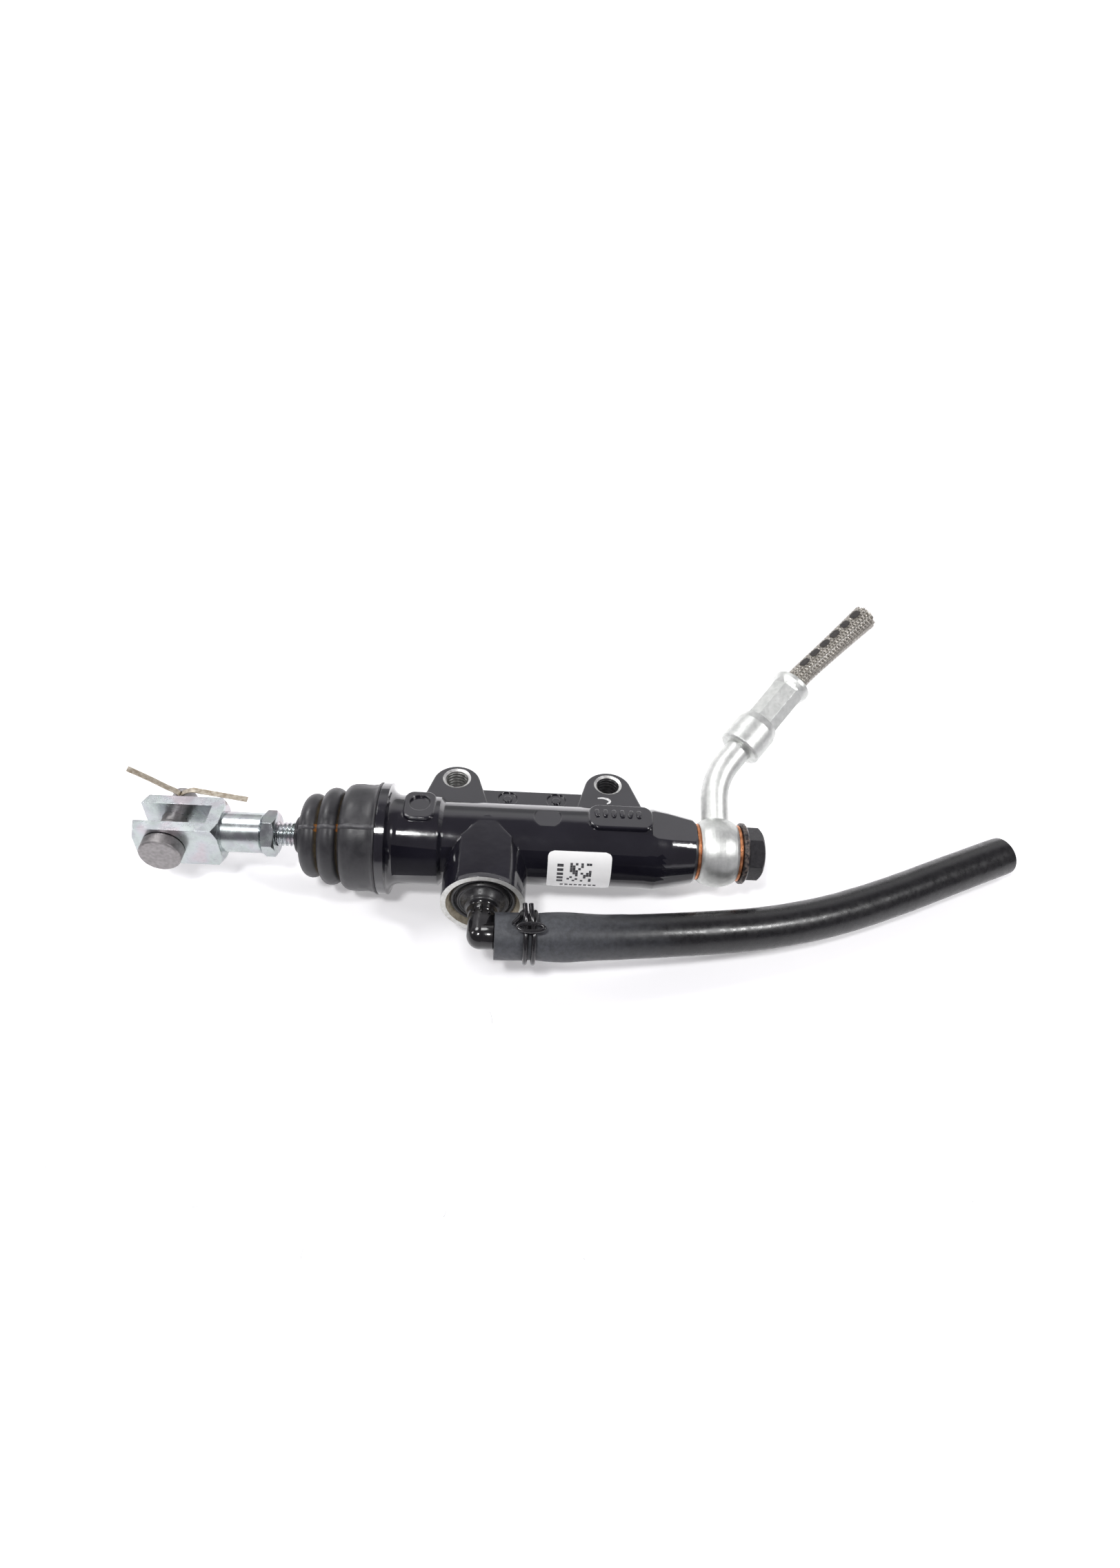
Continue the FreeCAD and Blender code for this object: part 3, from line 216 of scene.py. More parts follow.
FINISHES = {
    # dull grey-mauve steel of the clevis pin
    "plain_steel": dict(
        colour=(0.42, 0.38, 0.40), rough=0.42, metal=0.9,
        tones=(0.8, 5, (0.3, (0.22, 0.21, 0.21)), (0.7, (0.34, 0.325, 0.325))),
        gloss=(0.4, 4, (0.3, 0.36), (0.7, 0.55)), edge=0.3, bumps=((0.3, 3, 0.02, 0.8),)),
    # satin zinc of the hose end, with turned rings round the ball
    "galvanised": dict(
        colour=(0.54, 0.56, 0.53), rough=0.36, metal=0.95,
        tones=(1.6, 5, (0.3, (0.57, 0.585, 0.565)), (0.7, (0.73, 0.74, 0.72))),
        gloss=(0.6, 4, (0.3, 0.40), (0.7, 0.53)), edge=0.3,
        bumps=((0.28, 3, 0.022, 0.7, (1.0, 0.06, 0.06)), (1.2, 3, 0.02, 0.5))),
    "copper": dict(
        colour=(0.72, 0.30, 0.14), rough=0.34, metal=1.0,
        tones=(1.1, 5, (0.3, (0.42, 0.15, 0.065)), (0.65, (0.80, 0.36, 0.18))),
        gloss=(0.5, 3, (0.3, 0.26), (0.7, 0.5)), edge=0.2, bumps=((0.3, 3, 0.02, 0.7),)),
    "elbow_plastic": dict(
        colour=(0.006, 0.006, 0.007), rough=0.1, Coat_Weight=0.2, Coat_Roughness=0.04,
        tones=(2, 4, (0.3, (0.005, 0.005, 0.006)), (0.7, (0.012, 0.011, 0.012))),
        gloss=(1.2, 4, (0.3, 0.1), (0.7, 0.24)), bumps=((1.6, 2, 0.03, 0.6),)),
    "clip_steel": dict(
        colour=(0.010, 0.010, 0.012), rough=0.16, metal=0.3, Coat_Weight=0.3,
        Coat_Roughness=0.08,
        tones=(0.7, 4, (0.35, (0.008, 0.008, 0.010)), (0.7, (0.022, 0.020, 0.022))),
        gloss=(0.5, 3, (0.3, 0.12), (0.7, 0.26)), bumps=((0.5, 2, 0.015, 0.6),)),
    "seal_rubber": dict(
        colour=(0.012, 0.012, 0.013), rough=0.32,
        tones=(1.5, 5, (0.3, (0.009, 0.009, 0.010)), (0.75, (0.030, 0.029, 0.031))),
        gloss=(0.8, 4, (0.3, 0.24), (0.7, 0.46)), bumps=((0.4, 3, 0.015, 0.7),)),
    # clear cover over the braid, slightly brown and scuffed
    "clear_cover": dict(
        colour=(0.20, 0.185, 0.15), rough=0.1, Alpha=0.16,
        gloss=(0.8, 4, (0.3, 0.04), (0.7, 0.14)), bumps=((0.8, 3, 0.02, 0.6),)),
    "braid": dict(
        colour=(0.74, 0.70, 0.64), rough=0.3, metal=0.9,
        tones=(0.9, 4, (0.3, (0.36, 0.335, 0.30)), (0.6, (0.62, 0.595, 0.555))),
        gloss=(0.5, 3, (0.3, 0.22), (0.7, 0.42))),
    # dark ground under the braid, and the blank dashes over it
    "braid_tracer": dict(
        colour=(0.02, 0.018, 0.018), rough=0.5,
        tones=(0.6, 3, (0.3, (0.012, 0.011, 0.011)), (0.7, (0.04, 0.035, 0.032)))),
    "liner": dict(
        colour=(0.50, 0.42, 0.32), rough=0.4,
        tones=(0.8, 4, (0.3, (0.36, 0.29, 0.21)), (0.7, (0.58, 0.50, 0.40))),
        bumps=((0.4, 3, 0.03, 0.7),)),
    "cotter_steel": dict(
        colour=(0.50, 0.44, 0.35), rough=0.38, metal=0.85,
        tones=(1.1, 5, (0.3, (0.30, 0.245, 0.18)), (0.68, (0.62, 0.57, 0.48))),
        gloss=(0.5, 3, (0.3, 0.3), (0.7, 0.5)), bumps=((0.4, 3, 0.02, 0.7),)),
    "spring_steel": dict(
        colour=(0.30, 0.30, 0.31), rough=0.3, metal=1.0,
        tones=(1.0, 4, (0.3, (0.20, 0.20, 0.21)), (0.7, (0.42, 0.42, 0.43))),
        bumps=((0.4, 2, 0.01, 0.6),)),
    "anodised": dict(
        colour=(0.50, 0.50, 0.52), rough=0.3, metal=0.95,
        tones=(1.2, 4, (0.3, (0.42, 0.42, 0.44)), (0.7, (0.58, 0.58, 0.60))),
        bumps=((0.3, 2, 0.015, 0.6, (1, 0.05, 0.05)),)),
    "label_white": dict(
        colour=(0.92, 0.92, 0.91), rough=0.42, Coat_Weight=0.25, Coat_Roughness=0.25,
        tones=(3.0, 4, (0.25, (0.92, 0.92, 0.91)), (0.6, (0.98, 0.98, 0.97))),
        bumps=((0.8, 2, 0.01, 0.5),)),
    "label_print": dict(
        colour=(0.05, 0.05, 0.055), rough=0.55,
        tones=(0.5, 3, (0.35, (0.025, 0.025, 0.03)), (0.75, (0.12, 0.12, 0.125)))),
    "paint_dab": dict(
        colour=(0.62, 0.62, 0.62), rough=0.6,
        tones=(0.5, 4, (0.35, (0.35, 0.35, 0.36)), (0.6, (0.75, 0.75, 0.74)))),
}


def made_of(name):
    """The finish of that name in the table above."""
    return blotched(name, **FINISHES[name])


def bare_alloy(name, light, tint, metal=1.0):
    """Machined alloy with specks of old fluid."""
    return blotched(name, light, 0.34, metal, tones=(0.9, 5, (0.30, tint), (0.62, light)),
                    gloss=(0.5, 3, (0.3, 0.30), (0.7, 0.52)), bumps=((0.18, 2, 0.01, 0.8),))


def boot_rubber(seam):
    """Matt rubber, paler where handled, with tan bloom down in the folds; a painted highlight runs along
    one seam, with a painted orange glint on it down in the folds.
    """
    cuff_x, end_x, flank_x = -45.5, -52.7, -47.1
    # the last two colours are painted highlights: an orange glint and a paler seam line
    tan, orange_glint_colour, seam_highlight_colour = (0.19, 0.145, 0.075), (0.62, 0.25, 0.04), (0.13, 0.128, 0.135)
    s = Shader("boot_rubber", (0.028, 0.028, 0.031), 0.52, Specular_IOR_Level=0.45)
    cloudy = s.ramp(s.noise(5, 5, 0.65), (0.3, (0.013, 0.013, 0.015)),
                    (0.75, (0.036, 0.035, 0.039)))
    radius = s.from_bore()

    def right_of(x):
        return s.math("GREATER_THAN", s.along(X, Vector((x, 0, 0))), 0.0)

    left_of_cuff = s.math("LESS_THAN", s.along(X, Vector((cuff_x, 0, 0))), 0.0)
    deep = s.times(s.ramp(s.times(radius, 0.1), (0.92, 1.0), (1.0, 0.0)), left_of_cuff)
    flank = s.times(right_of(flank_x), left_of_cuff)
    low_flank = s.times(flank, s.ramp(s.times(radius, 0.08), (0.80, 1.0), (0.88, 0.0)))
    deep = s.math("MAXIMUM", s.times(deep, right_of(end_x)), low_flank)
    patchy = s.times(deep, s.ramp(s.noise(2.2, 3), (0.25, 0.25), (0.6, 0.85)))
    colour = s.mix(patchy, cloudy, tan)
    across = s.math("ABSOLUTE", s.along(X.cross(seam), BORE))
    facing = s.math("GREATER_THAN", s.along(seam, BORE), 0.0)
    # painted highlight: an orange glint on the facing seam down in the folds
    spot = s.times(s.times(s.math("LESS_THAN", across, 0.9), facing), deep)
    # painted highlight: a paler, broken line along the facing seam
    wear_and_seam_highlight = s.times(s.ramp(across, (0.2, 0.55), (0.6, 0.0)),
                   s.ramp(s.noise(1.6, 3), (0.35, 0.35), (0.6, 1.0)))
    colour = s.mix(s.times(wear_and_seam_highlight, facing), colour, seam_highlight_colour)
    s.set("Base Color", s.mix(spot, colour, orange_glint_colour))
    s.set("Roughness", s.ramp(s.noise(2.5, 4), (0.3, 0.33), (0.7, 0.52)))
    s.bump(s.noise(2.4, 3), 0.05, 0.6)
    s.bump(s.noise(0.22, 2), 0.012, 0.8)
    return s.done()


def zinc():
    """Bright zinc plate: cool, with faint pink and green bands and fine scratches."""
    light, rough = (0.47, 0.49, 0.51), 0.2
    s = Shader("zinc_steel", light, rough, 1.0)
    film = s.noise(6.5, 2, 0.4)
    tint = s.ramp(film, (0.34, tuple(0.88 * c for c in light)), (0.46, (0.46, 0.505, 0.495)),
                  (0.56, light), (0.66, (0.50, 0.465, 0.49)))
    grime = s.ramp(s.noise(1.3, 5), (0.32, (0.50, 0.50, 0.52)), (0.5, (1.0, 1.0, 1.0)))
    s.set("Base Color", s.mix(0.2, tint, grime, "MULTIPLY"))
    s.set("Roughness", s.ramp(s.noise(2.5, 4), (0.3, rough), (0.7, rough + 0.12)))
    s.soften_edges(0.14)
    s.bump(s.noise(0.5, 3, at=s.stretched((0.25, 1, 1))), 0.008, 0.4)
    return s.done()


def bolt_black():
    """Blackened steel; the flange rim and hex corners are rubbed shiny."""
    s = Shader("bolt_black", (0.012, 0.012, 0.013), 0.36, 0.4)
    radius = s.from_bore()
    rubbed = s.times(s.ramp(s.times(radius, 0.1), (0.715, 0.0), (0.76, 1.0)),
                    s.ramp(s.noise(0.7, 4), (0.42, 0.0), (0.6, 0.8)))
    s.set("Base Color", s.mix(rubbed, (0.021, 0.020, 0.023), (0.19, 0.15, 0.13)))
    s.set("Roughness", s.ramp(s.noise(0.6, 4), (0.3, 0.28), (0.7, 0.48)))
    s.soften_edges(0.35)
    s.bump(s.noise(0.35, 3), 0.02, 0.7)
    return s.done()


def feed_rubber():
    """Hose rubber: dusty grey near the elbow, blacker and shinier along the rest."""
    dust_x, blur, weave = -8.0, 26.0, 2.4
    s = Shader("hose_rubber", (0.016, 0.016, 0.017), 0.42, Specular_IOR_Level=0.5)
    along = s.along(X, Vector((dust_x, 0, 0)))
    patch = s.math("SUBTRACT", s.noise(4.5, 5, 0.7), 0.5)
    blurred = s.math("ADD", along, s.times(patch, blur))
    dusty = s.ramp(s.times(blurred, 0.02), (0.25, 1.0), (0.62, 0.42), (0.86, 0.0))
    dust = s.ramp(s.noise(1.1, 5, 0.7), (0.3, (0.030, 0.032, 0.037)),
                  (0.75, (0.070, 0.074, 0.084)))
    black = s.ramp(s.noise(2.6, 4), (0.3, (0.005, 0.005, 0.006)),
                   (0.75, (0.011, 0.0105, 0.0115)))
    s.set("Base Color", s.mix(dusty, black, dust))
    dull = s.math("ADD", s.times(dusty, 0.3), s.times(s.noise(1.5, 4), 0.5))
    s.set("Roughness", s.ramp(dull, (0.15, 0.22), (0.65, 0.62)))
    woven = s.node("TexWave", {"Vector": s.stretched((1, 0, 0)),
                               "Scale": 1 / (weave * MM) / FULL * 1.6,
                               "Distortion": 0.6, "Detail": 1.0}, wave_type="BANDS")
    s.bump(woven.outputs["Fac"], 0.02, 0.35)
    s.bump(s.noise(0.9, 3), 0.03, 0.5)
    return s.done()


# ---------------------------------------------------------------- mesh tools

def even_angles(count):
    return [FULL * k / count for k in range(count)]


def add_mesh(name, points, faces, material, uvs=None, sharp=32):
    """A mesh object from millimetre points; uvs gives each face corner its place."""
    mesh = bpy.data.meshes.new(name)
    mesh.from_pydata([tuple(p * MM) for p in points], [], faces)
    if uvs:
        layer = mesh.uv_layers.new(name="along_and_around")
        for loop, place in zip(layer.data, uvs):
            loop.uv = place
    mesh.shade_smooth()
    mesh.set_sharp_from_angle(angle=math.radians(sharp))
    mesh.update()
    made = bpy.data.objects.new(name, mesh)
    bpy.context.scene.collection.objects.link(made)
    made.data.materials.append(material)
    return made


def skin(name, rings, material, loop=False, caps=True, sharp=32):
    """A tube through rings of equally many points; loop joins the last ring to the first."""
    count = len(rings[0])
    points = [p for ring in rings for p in ring]
    faces, uvs = [], []
    last = len(rings) if loop else len(rings) - 1
    for i in range(last):
        here, there = i * count, ((i + 1) % len(rings)) * count
        for k in range(count):
            n = (k + 1) % count
            faces.append((here + k, here + n, there + n, there + k))
            for u, v in ((i, k), (i, k + 1), (i + 1, k + 1), (i + 1, k)):
                uvs.append((u / len(rings), v / count))
    if caps and not loop:
        faces.append(tuple(range(count))[::-1])
        faces.append(tuple(range((len(rings) - 1) * count, len(rings) * count)))
        uvs += [(0, 0)] * (2 * count)
    return add_mesh(name, points, faces, material, uvs, sharp)


def rounded(outline, reach, steps=4, closed=True):
    """The outline with each corner replaced by a small curve."""
    out = []
    count = len(outline)
    for i, corner in enumerate(outline):
        if not closed and i in (0, count - 1):
            out.append(corner)
            continue
        before, after = outline[i - 1], outline[(i + 1) % count]
        ends = []
        for other in (before, after):
            side = Vector(other) - Vector(corner)
            share = min(reach, side.length * 0.45) / max(side.length, 1e-9)
            ends.append(Vector(corner) + side * share)
        for s in range(steps + 1):
            t = s / steps
            out.append(tuple(ends[0] * (1 - t) ** 2 + Vector(corner) * 2 * t * (1 - t)
                             + ends[1] * t * t))
    return out


def lathe(name, outline, origin, axis, material, turns=96, closed=True, shift=None, sharp=32,
          angles=None, zero=None):
    """Turns an outline of (along, radius) pairs about an axis; shift moves each point's radius."""
    axis = axis.normalized()
    side = (zero or axis.orthogonal()).normalized()
    other = axis.cross(side)
    angles = angles or even_angles(turns)
    rings = []
    for along, radius in outline:
        ring = []
        for angle in angles:
            r = radius + (shift(along, angle, radius) if shift else 0.0)
            ring.append(origin + axis * along + (side * math.cos(angle) + other * math.sin(angle)) * r)
        rings.append(ring)
    return skin(name, rings, material, loop=closed, sharp=sharp)


def directions(path, closed=False):
    out = []
    for i in range(len(path)):
        if closed:
            step = path[(i + 1) % len(path)] - path[i - 1]
        else:
            step = path[min(i + 1, len(path) - 1)] - path[max(i - 1, 0)]
        out.append(step.normalized())
    return out


def frames(path, first, closed=False):
    """Direction and two sideways vectors at each point, carried along without twist."""
    out = []
    normal = first
    for forward in directions(path, closed):
        normal = (normal - forward * normal.dot(forward)).normalized()
        out.append((forward, normal, forward.cross(normal)))
    return out


def sweep(name, path, section, material, first=Z, closed=False, sharp=32):
    """Carries a section along a path; section(share) gives (across, up) pairs."""
    rings = []
    last = max(len(path) - 1, 1)
    for i, (point, (_, up, across)) in enumerate(zip(path, frames(path, first, closed))):
        rings.append([point + across * a + up * b for a, b in section(i / last)])
    return skin(name, rings, material, loop=closed, sharp=sharp)


def disc(radius, sides=16):
    return [(radius * math.cos(a), radius * math.sin(a)) for a in even_angles(sides)]


def round_wire(radius, sides=14, tip=0.0, long=1.0):
    """Section of a wire whose ends are rounded over the length 'tip'."""
    def section(share):
        near = min(share, 1 - share) * long
        scale = 1.0
        if tip and near < tip:
            scale = math.sqrt(max(1 - (1 - near / tip) ** 2, 0.02))
        return disc(radius * scale, sides)
    return section


def flowing(points, steps=8):
    """A smooth curve through points (Catmull-Rom)."""
    out = []
    padded = [points[0] * 2 - points[1], *points, points[-1] * 2 - points[-2]]
    for a, b, c, d in zip(padded, padded[1:], padded[2:], padded[3:]):
        for s in range(steps):
            t = s / steps
            out.append(0.5 * ((2 * b) + (c - a) * t + (2 * a - 5 * b + 4 * c - d) * t * t
                              + (3 * b - a - 3 * c + d) * t ** 3))
    out.append(points[-1])
    return out


def dense_tips(path):
    """Adds points near both ends so that rounded tips have room for their curve."""
    steps = 5
    first = [path[0].lerp(path[1], 0.5 * (k / steps) ** 2) for k in range(steps)]
    last = [path[-1].lerp(path[-2], 0.5 * (k / steps) ** 2) for k in range(steps)][::-1]
    return first + path[1:-1] + last


def join(objects, name):
    bpy.ops.object.select_all(action="DESELECT")
    for made in objects:
        made.select_set(True)
    bpy.context.view_layer.objects.active = objects[0]
    bpy.ops.object.join()
    objects[0].name = name
    objects[0].data.name = name
    return objects[0]


def outward(turned, angle):
    """Direction at an angle round a line, from its frame of forward, up and across."""
    _, up, across = turned
    return across * math.cos(angle) + up * math.sin(angle)


def finish_piece(made, body, slot, *nodes):
    """Rides the piece on its body and hides the CAD nodes that it stands for; slot is not used."""
    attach(made, body)
    if nodes:
        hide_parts(*nodes)
    return made


# ---------------------------------------------------------------- dust boot

BOOT_SHIFT = span("dust_boot")[0].x + 58.4
SEAM = Vector((0, -math.cos(math.radians(58)), math.sin(math.radians(58))))


def seam_angles():
    """Even angles round the boot with extra ones beside its two mould seams."""
    angles = even_angles(112)
    for middle_angle in (0.0, math.pi):
        for offset in (-0.06, -0.045, -0.03, -0.015, 0.015, 0.03, 0.045, 0.06):
            angles.append((middle_angle + offset) % FULL)
    return sorted(angles)


def seam_ridge(along, angle, radius):
    """A thin moulded ridge along both seams, broken here and there, and slightly wavy rubber."""
    away = min(abs(angle - k) for k in (0.0, math.pi, FULL))
    ridge = 0.38 * max(0.0, 1 - (away / 0.04) ** 2)
    broken = 0.75 + 0.25 * noise.noise(Vector((along * 0.8, angle, 3)))
    wave = noise.noise(Vector((along * 0.16, math.cos(angle) * 1.3, math.sin(angle) * 1.3)))
    return ridge * broken + 0.12 * wave * min(1.0, max(radius - 5.0, 0.0) / 4.0)


def lobe(centre, middle_radius, radius, start, stop, steps=14):
    out = []
    for k in range(steps + 1):
        angle = math.radians(start + (stop - start) * k / steps)
        out.append((centre + radius * math.cos(angle), middle_radius + radius * math.sin(angle)))
    return out


def make_boot(rubber):
    folds = [(-57.9, 4.0), (-57.9, 4.5), (-57.2, 5.0), (-56.7, 6.0)]
    folds += lobe(-53.95, 7.95, 2.45, 196, 14)
    folds += lobe(-49.2, 9.6, 2.5, 206, -14)
    cuff = [(-46.62, 9.3), (-46.5, 11.3), (-46.15, 12.2), (-45.5, 12.85), (-44.5, 13.2), (-43.0, 13.32),
            (-41.4, 13.2), (-40.0, 13.12), (-38.9, 13.3), (-38.35, 13.55), (-38.1, 13.85),
            (-37.85, 13.9), (-37.62, 13.8)]
    inner = [(-37.62, 11.45), (-44.45, 11.45), (-45.4, 11.0)]
    inner += lobe(-49.2, 9.6, 1.4, 0, 190, 8)
    inner += lobe(-53.95, 7.95, 1.35, 0, 190, 8)
    inner += [(-56.5, 4.2)]
    moved = Vector((BOOT_SHIFT, BORE.y, BORE.z))
    boot = lathe("dust_boot_rubber", folds + cuff + inner, moved, X, rubber,
                 shift=seam_ridge, angles=seam_angles(), zero=SEAM, sharp=60)
    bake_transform(boot)
    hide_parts("dust_boot")
    ring = rounded([(-58.4, 3.04), (-58.4, 4.25), (-57.75, 4.7), (-57.0, 4.35), (-56.6, 3.04)], 0.35)
    neck = lathe("dust_boot_neck", ring, moved, X, rubber, turns=64)
    finish_piece(neck, "pushrod_set", "boot_rubber")


# ---------------------------------------------------------------- pushrod, clevis, pins

THREAD_PITCH = 1.0


def make_pushrod(steel):
    """M6 threaded rod, its thread a real helix, with a ball end inside the piston."""
    low, high = span("pushrod")
    root, crest, shank, ball_rad = 2.42, 2.98, 2.7, 3.6
    stop = high.x - 21.0
    rows = []
    count = int((stop - low.x) / (THREAD_PITCH / 8))
    for k in range(count + 1):
        rows.append((low.x + (stop - low.x) * k / count, crest))

    def thread(along, angle, radius):
        if along > stop - 1e-6:
            return shank - radius
        phase = (along / THREAD_PITCH + angle / FULL) % 1.0
        shape = min(1.0, max(0.0, 1.35 - abs(phase - 0.5) * 3.4))
        start = min(1.0, (along - low.x) / 0.7)
        return (root + (crest - root) * shape) * (0.82 + 0.18 * start) - radius

    ball = high.x - ball_rad
    rows += [(ball - 3.2, shank)]
    rows += lobe(ball, 0.0, ball_rad, 132, 4, 12)
    rod = lathe("pushrod_thread", rows, Vector((0, BORE.y, BORE.z)), X, steel, turns=40,
                closed=False, sharp=50,
                shift=lambda x, a, r: thread(x, a, r) if x <= stop + 1e-6 and r == crest else 0.0)
    finish_piece(rod, "pushrod_set", "zinc_steel", "pushrod")


def half_round(radius):
    """Half-round wire section: flat below, curved above."""
    return [(radius * math.cos(math.pi * k / 8), radius * 0.72 * math.sin(math.pi * k / 8))
            for k in range(9)]


def make_cotter(steel):
    """Split pin: half-round wire with an eye below, its legs spread above."""
    base = Vector((PIN_X, BORE.y + 9.4, BORE.z))
    legs = {
        -1: [(-0.05, -4.6), (-0.05, 0.0), (-0.08, 2.8), (-0.9, 4.0), (-3.0, 5.4),
             (-6.9, 8.3), (-11.0, 11.0)],
        1: [(0.05, -4.6), (0.05, 0.0), (0.08, 2.7), (0.9, 3.7), (3.3, 4.6), (5.7, 4.2), (10.5, 3.3),
            (16.5, 2.1)]}
    made = []
    for side, route in legs.items():
        path = flowing([base + Vector((x, 0, z)) for x, z in route], 7)
        made.append(sweep("leg", path, cotter_section, steel, first=X * side, sharp=40))
    turns = [k / 24 for k in range(25)]
    eye = [base + Vector((1.5 * math.sin(FULL * 0.92 * (t - 0.5)), 0,
                          -5.9 - 1.5 * math.cos(FULL * 0.92 * (t - 0.5)))) for t in turns]
    made.append(sweep("eye", eye, lambda share: disc(0.5, 12), steel, first=Y))
    finish_piece(join(made, "cotter_pin_wire"), "pin_set", "cotter_steel", "cotter_pin")


def cotter_section(share):
    """Half-round, pressed flat and wider over the last tenth."""
    tip = max(0.0, share - 0.9) * 10
    return [(a * (1 + 0.1 * tip), b * (1 - 0.35 * tip) + 0.02) for a, b in half_round(0.82)]


def make_pin_step(steel):
    """Slightly larger front part of the pin, seen in the slot of the clevis."""
    step = rounded([(-2.85, 3.03), (-2.85, 3.35), (0.1, 3.35), (0.55, 3.03)], 0.25)
    origin = Vector((PIN_X, BORE.y, BORE.z))
    finish_piece(lathe("clevis_pin_step", step, origin, Y, steel, turns=64), "pin_set", "plain_steel")


def make_return_spring(steel):
    low, high = span("return_spring")
    turns, radius = 7, 4.6
    path = []
    for k in range(turns * 28 + 1):
        angle = FULL * k / 28
        x = low.x + 0.6 + (high.x - low.x - 1.2) * k / (turns * 28)
        path.append(Vector((x, BORE.y + radius * math.cos(angle), BORE.z + radius * math.sin(angle))))
    coil = sweep("return_spring_coil", path, lambda share: disc(0.55, 10), steel, first=X)
    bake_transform(coil)
    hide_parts("return_spring")


# ---------------------------------------------------------------- fluid inlet

def make_grommet(rubber):
    """Inlet seal: two lips by the wall of the boss and a dome rising to the elbow."""
    lips = [(0.0, 7.76), (0.45, 7.55), (0.55, 7.1), (0.15, 6.75), (-0.15, 6.6), (0.1, 6.4), (0.75, 6.1),
            (0.85, 5.85), (0.55, 5.6), (0.7, 5.3), (1.5, 4.7), (2.1, 4.35), (2.65, 4.2), (2.95, 3.9),
            (2.75, 3.66)]
    inner = [(-4.0, 3.66), (-4.0, 7.76)]
    outline = rounded(lips, 0.3, 3, closed=False) + inner
    seal = lathe("inlet_grommet_lips", outline, Vector((BOSS.x, SEAT_Y, BOSS.z)), -Y, rubber, turns=96,
                 sharp=50)
    finish_piece(seal, "housing", "seal_rubber", "inlet_grommet")


def make_elbow(plastic):
    """Moulded elbow: a foot collar in the seal, a ribbed neck, and the arm into the hose."""
    arm_y = BORE.y - 28.6
    radius = 3.12
    foot = Vector((BOSS.x, BORE.y - 14.0, BOSS.z))
    corner = Vector((BOSS.x, arm_y, BOSS.z))
    drop = (corner - foot).length
    cap = lobe(drop, 0.0, radius, 90, 0, 10)
    neck = lathe("elbow_neck", [(0, radius), (drop * 0.5, radius), *cap], foot, -Y, plastic, turns=48,
                 closed=False)
    arm = [(-0.4, 0.4), (-0.2, radius * 0.9), (0.3, radius), (3.0, radius), (3.2, 2.6), (9.0, 2.6),
           (9.2, 3.0), (12.5, 2.4), (16.0, 2.3)]
    tube = lathe("elbow_arm", arm, corner, X, plastic, turns=48, closed=False)
    step = [(0, 3.0), (0, 4.15), (1.2, 4.15), (1.9, 3.5), (3.4, 3.35), (3.9, 3.0)]
    collar = lathe("elbow_collar", rounded(step, 0.3), Vector((BOSS.x, SEAT_Y - 1.4, BOSS.z)), -Y,
                   plastic, turns=64)
    ribs = []
    for turn in (-0.62, 0.0, 0.62):
        out = Vector((math.sin(turn), 0, math.cos(turn)))
        start = Vector((BOSS.x, SEAT_Y - 3.2, BOSS.z)) + out * 3.05
        rib = sweep("rib", dense_tips([start, start - Y * 1.4, start - Y * 2.8]),
                    round_wire(0.42, 12, 0.5, 2.8), plastic, first=out)
        ribs.append(rib)
    finish_piece(join([neck, tube, collar, *ribs], "inlet_elbow_moulding"), "inlet_set", "elbow_plastic",
                 "inlet_elbow")


# ---------------------------------------------------------------- feed hose

HOSE_ROUTE = [
    (-0.0074, -0.0490, -0.0025), (0.0074, -0.0484, -0.0029), (0.0224, -0.0466, -0.0043),
    (0.0388, -0.0434, -0.0063), (0.0564, -0.0395, -0.0085), (0.0744, -0.0338, -0.0101),
    (0.0930, -0.0258, -0.0109), (0.1114, -0.0169, -0.01108), (0.1280, -0.0093, -0.01108)]
HOSE_RADIUS = 5.5


def route_points(route, name):
    """Points along the smooth NURBS line through a route's control points, in millimetres."""
    curve = bpy.data.curves.new(name, "CURVE")
    curve.dimensions = "3D"
    spline = curve.splines.new("NURBS")
    spline.points.add(len(route) - 1)
    for point, place in zip(spline.points, route):
        point.co = (*place, 1.0)
    spline.order_u = 3
    spline.use_endpoint_u = True
    spline.resolution_u = 16
    holder = bpy.data.objects.new(name, curve)
    mesh = bpy.data.meshes.new_from_object(holder)
    points = [v.co / MM for v in mesh.vertices]
    bpy.data.objects.remove(holder)
    bpy.data.meshes.remove(mesh)
    return points


def hose_radius(reach):
    """Outer radius along the hose: pinched in the clip, swollen just past it."""
    pinch = 0.22 * math.exp(-((reach - 8.8) / 1.4) ** 2)
    swell = 0.30 * math.exp(-((reach - 15.5) / 4.5) ** 2)
    return HOSE_RADIUS - 0.12 - pinch + swell - 0.26 * min(1.0, max(0.0, (reach - 18.0) / 14.0))


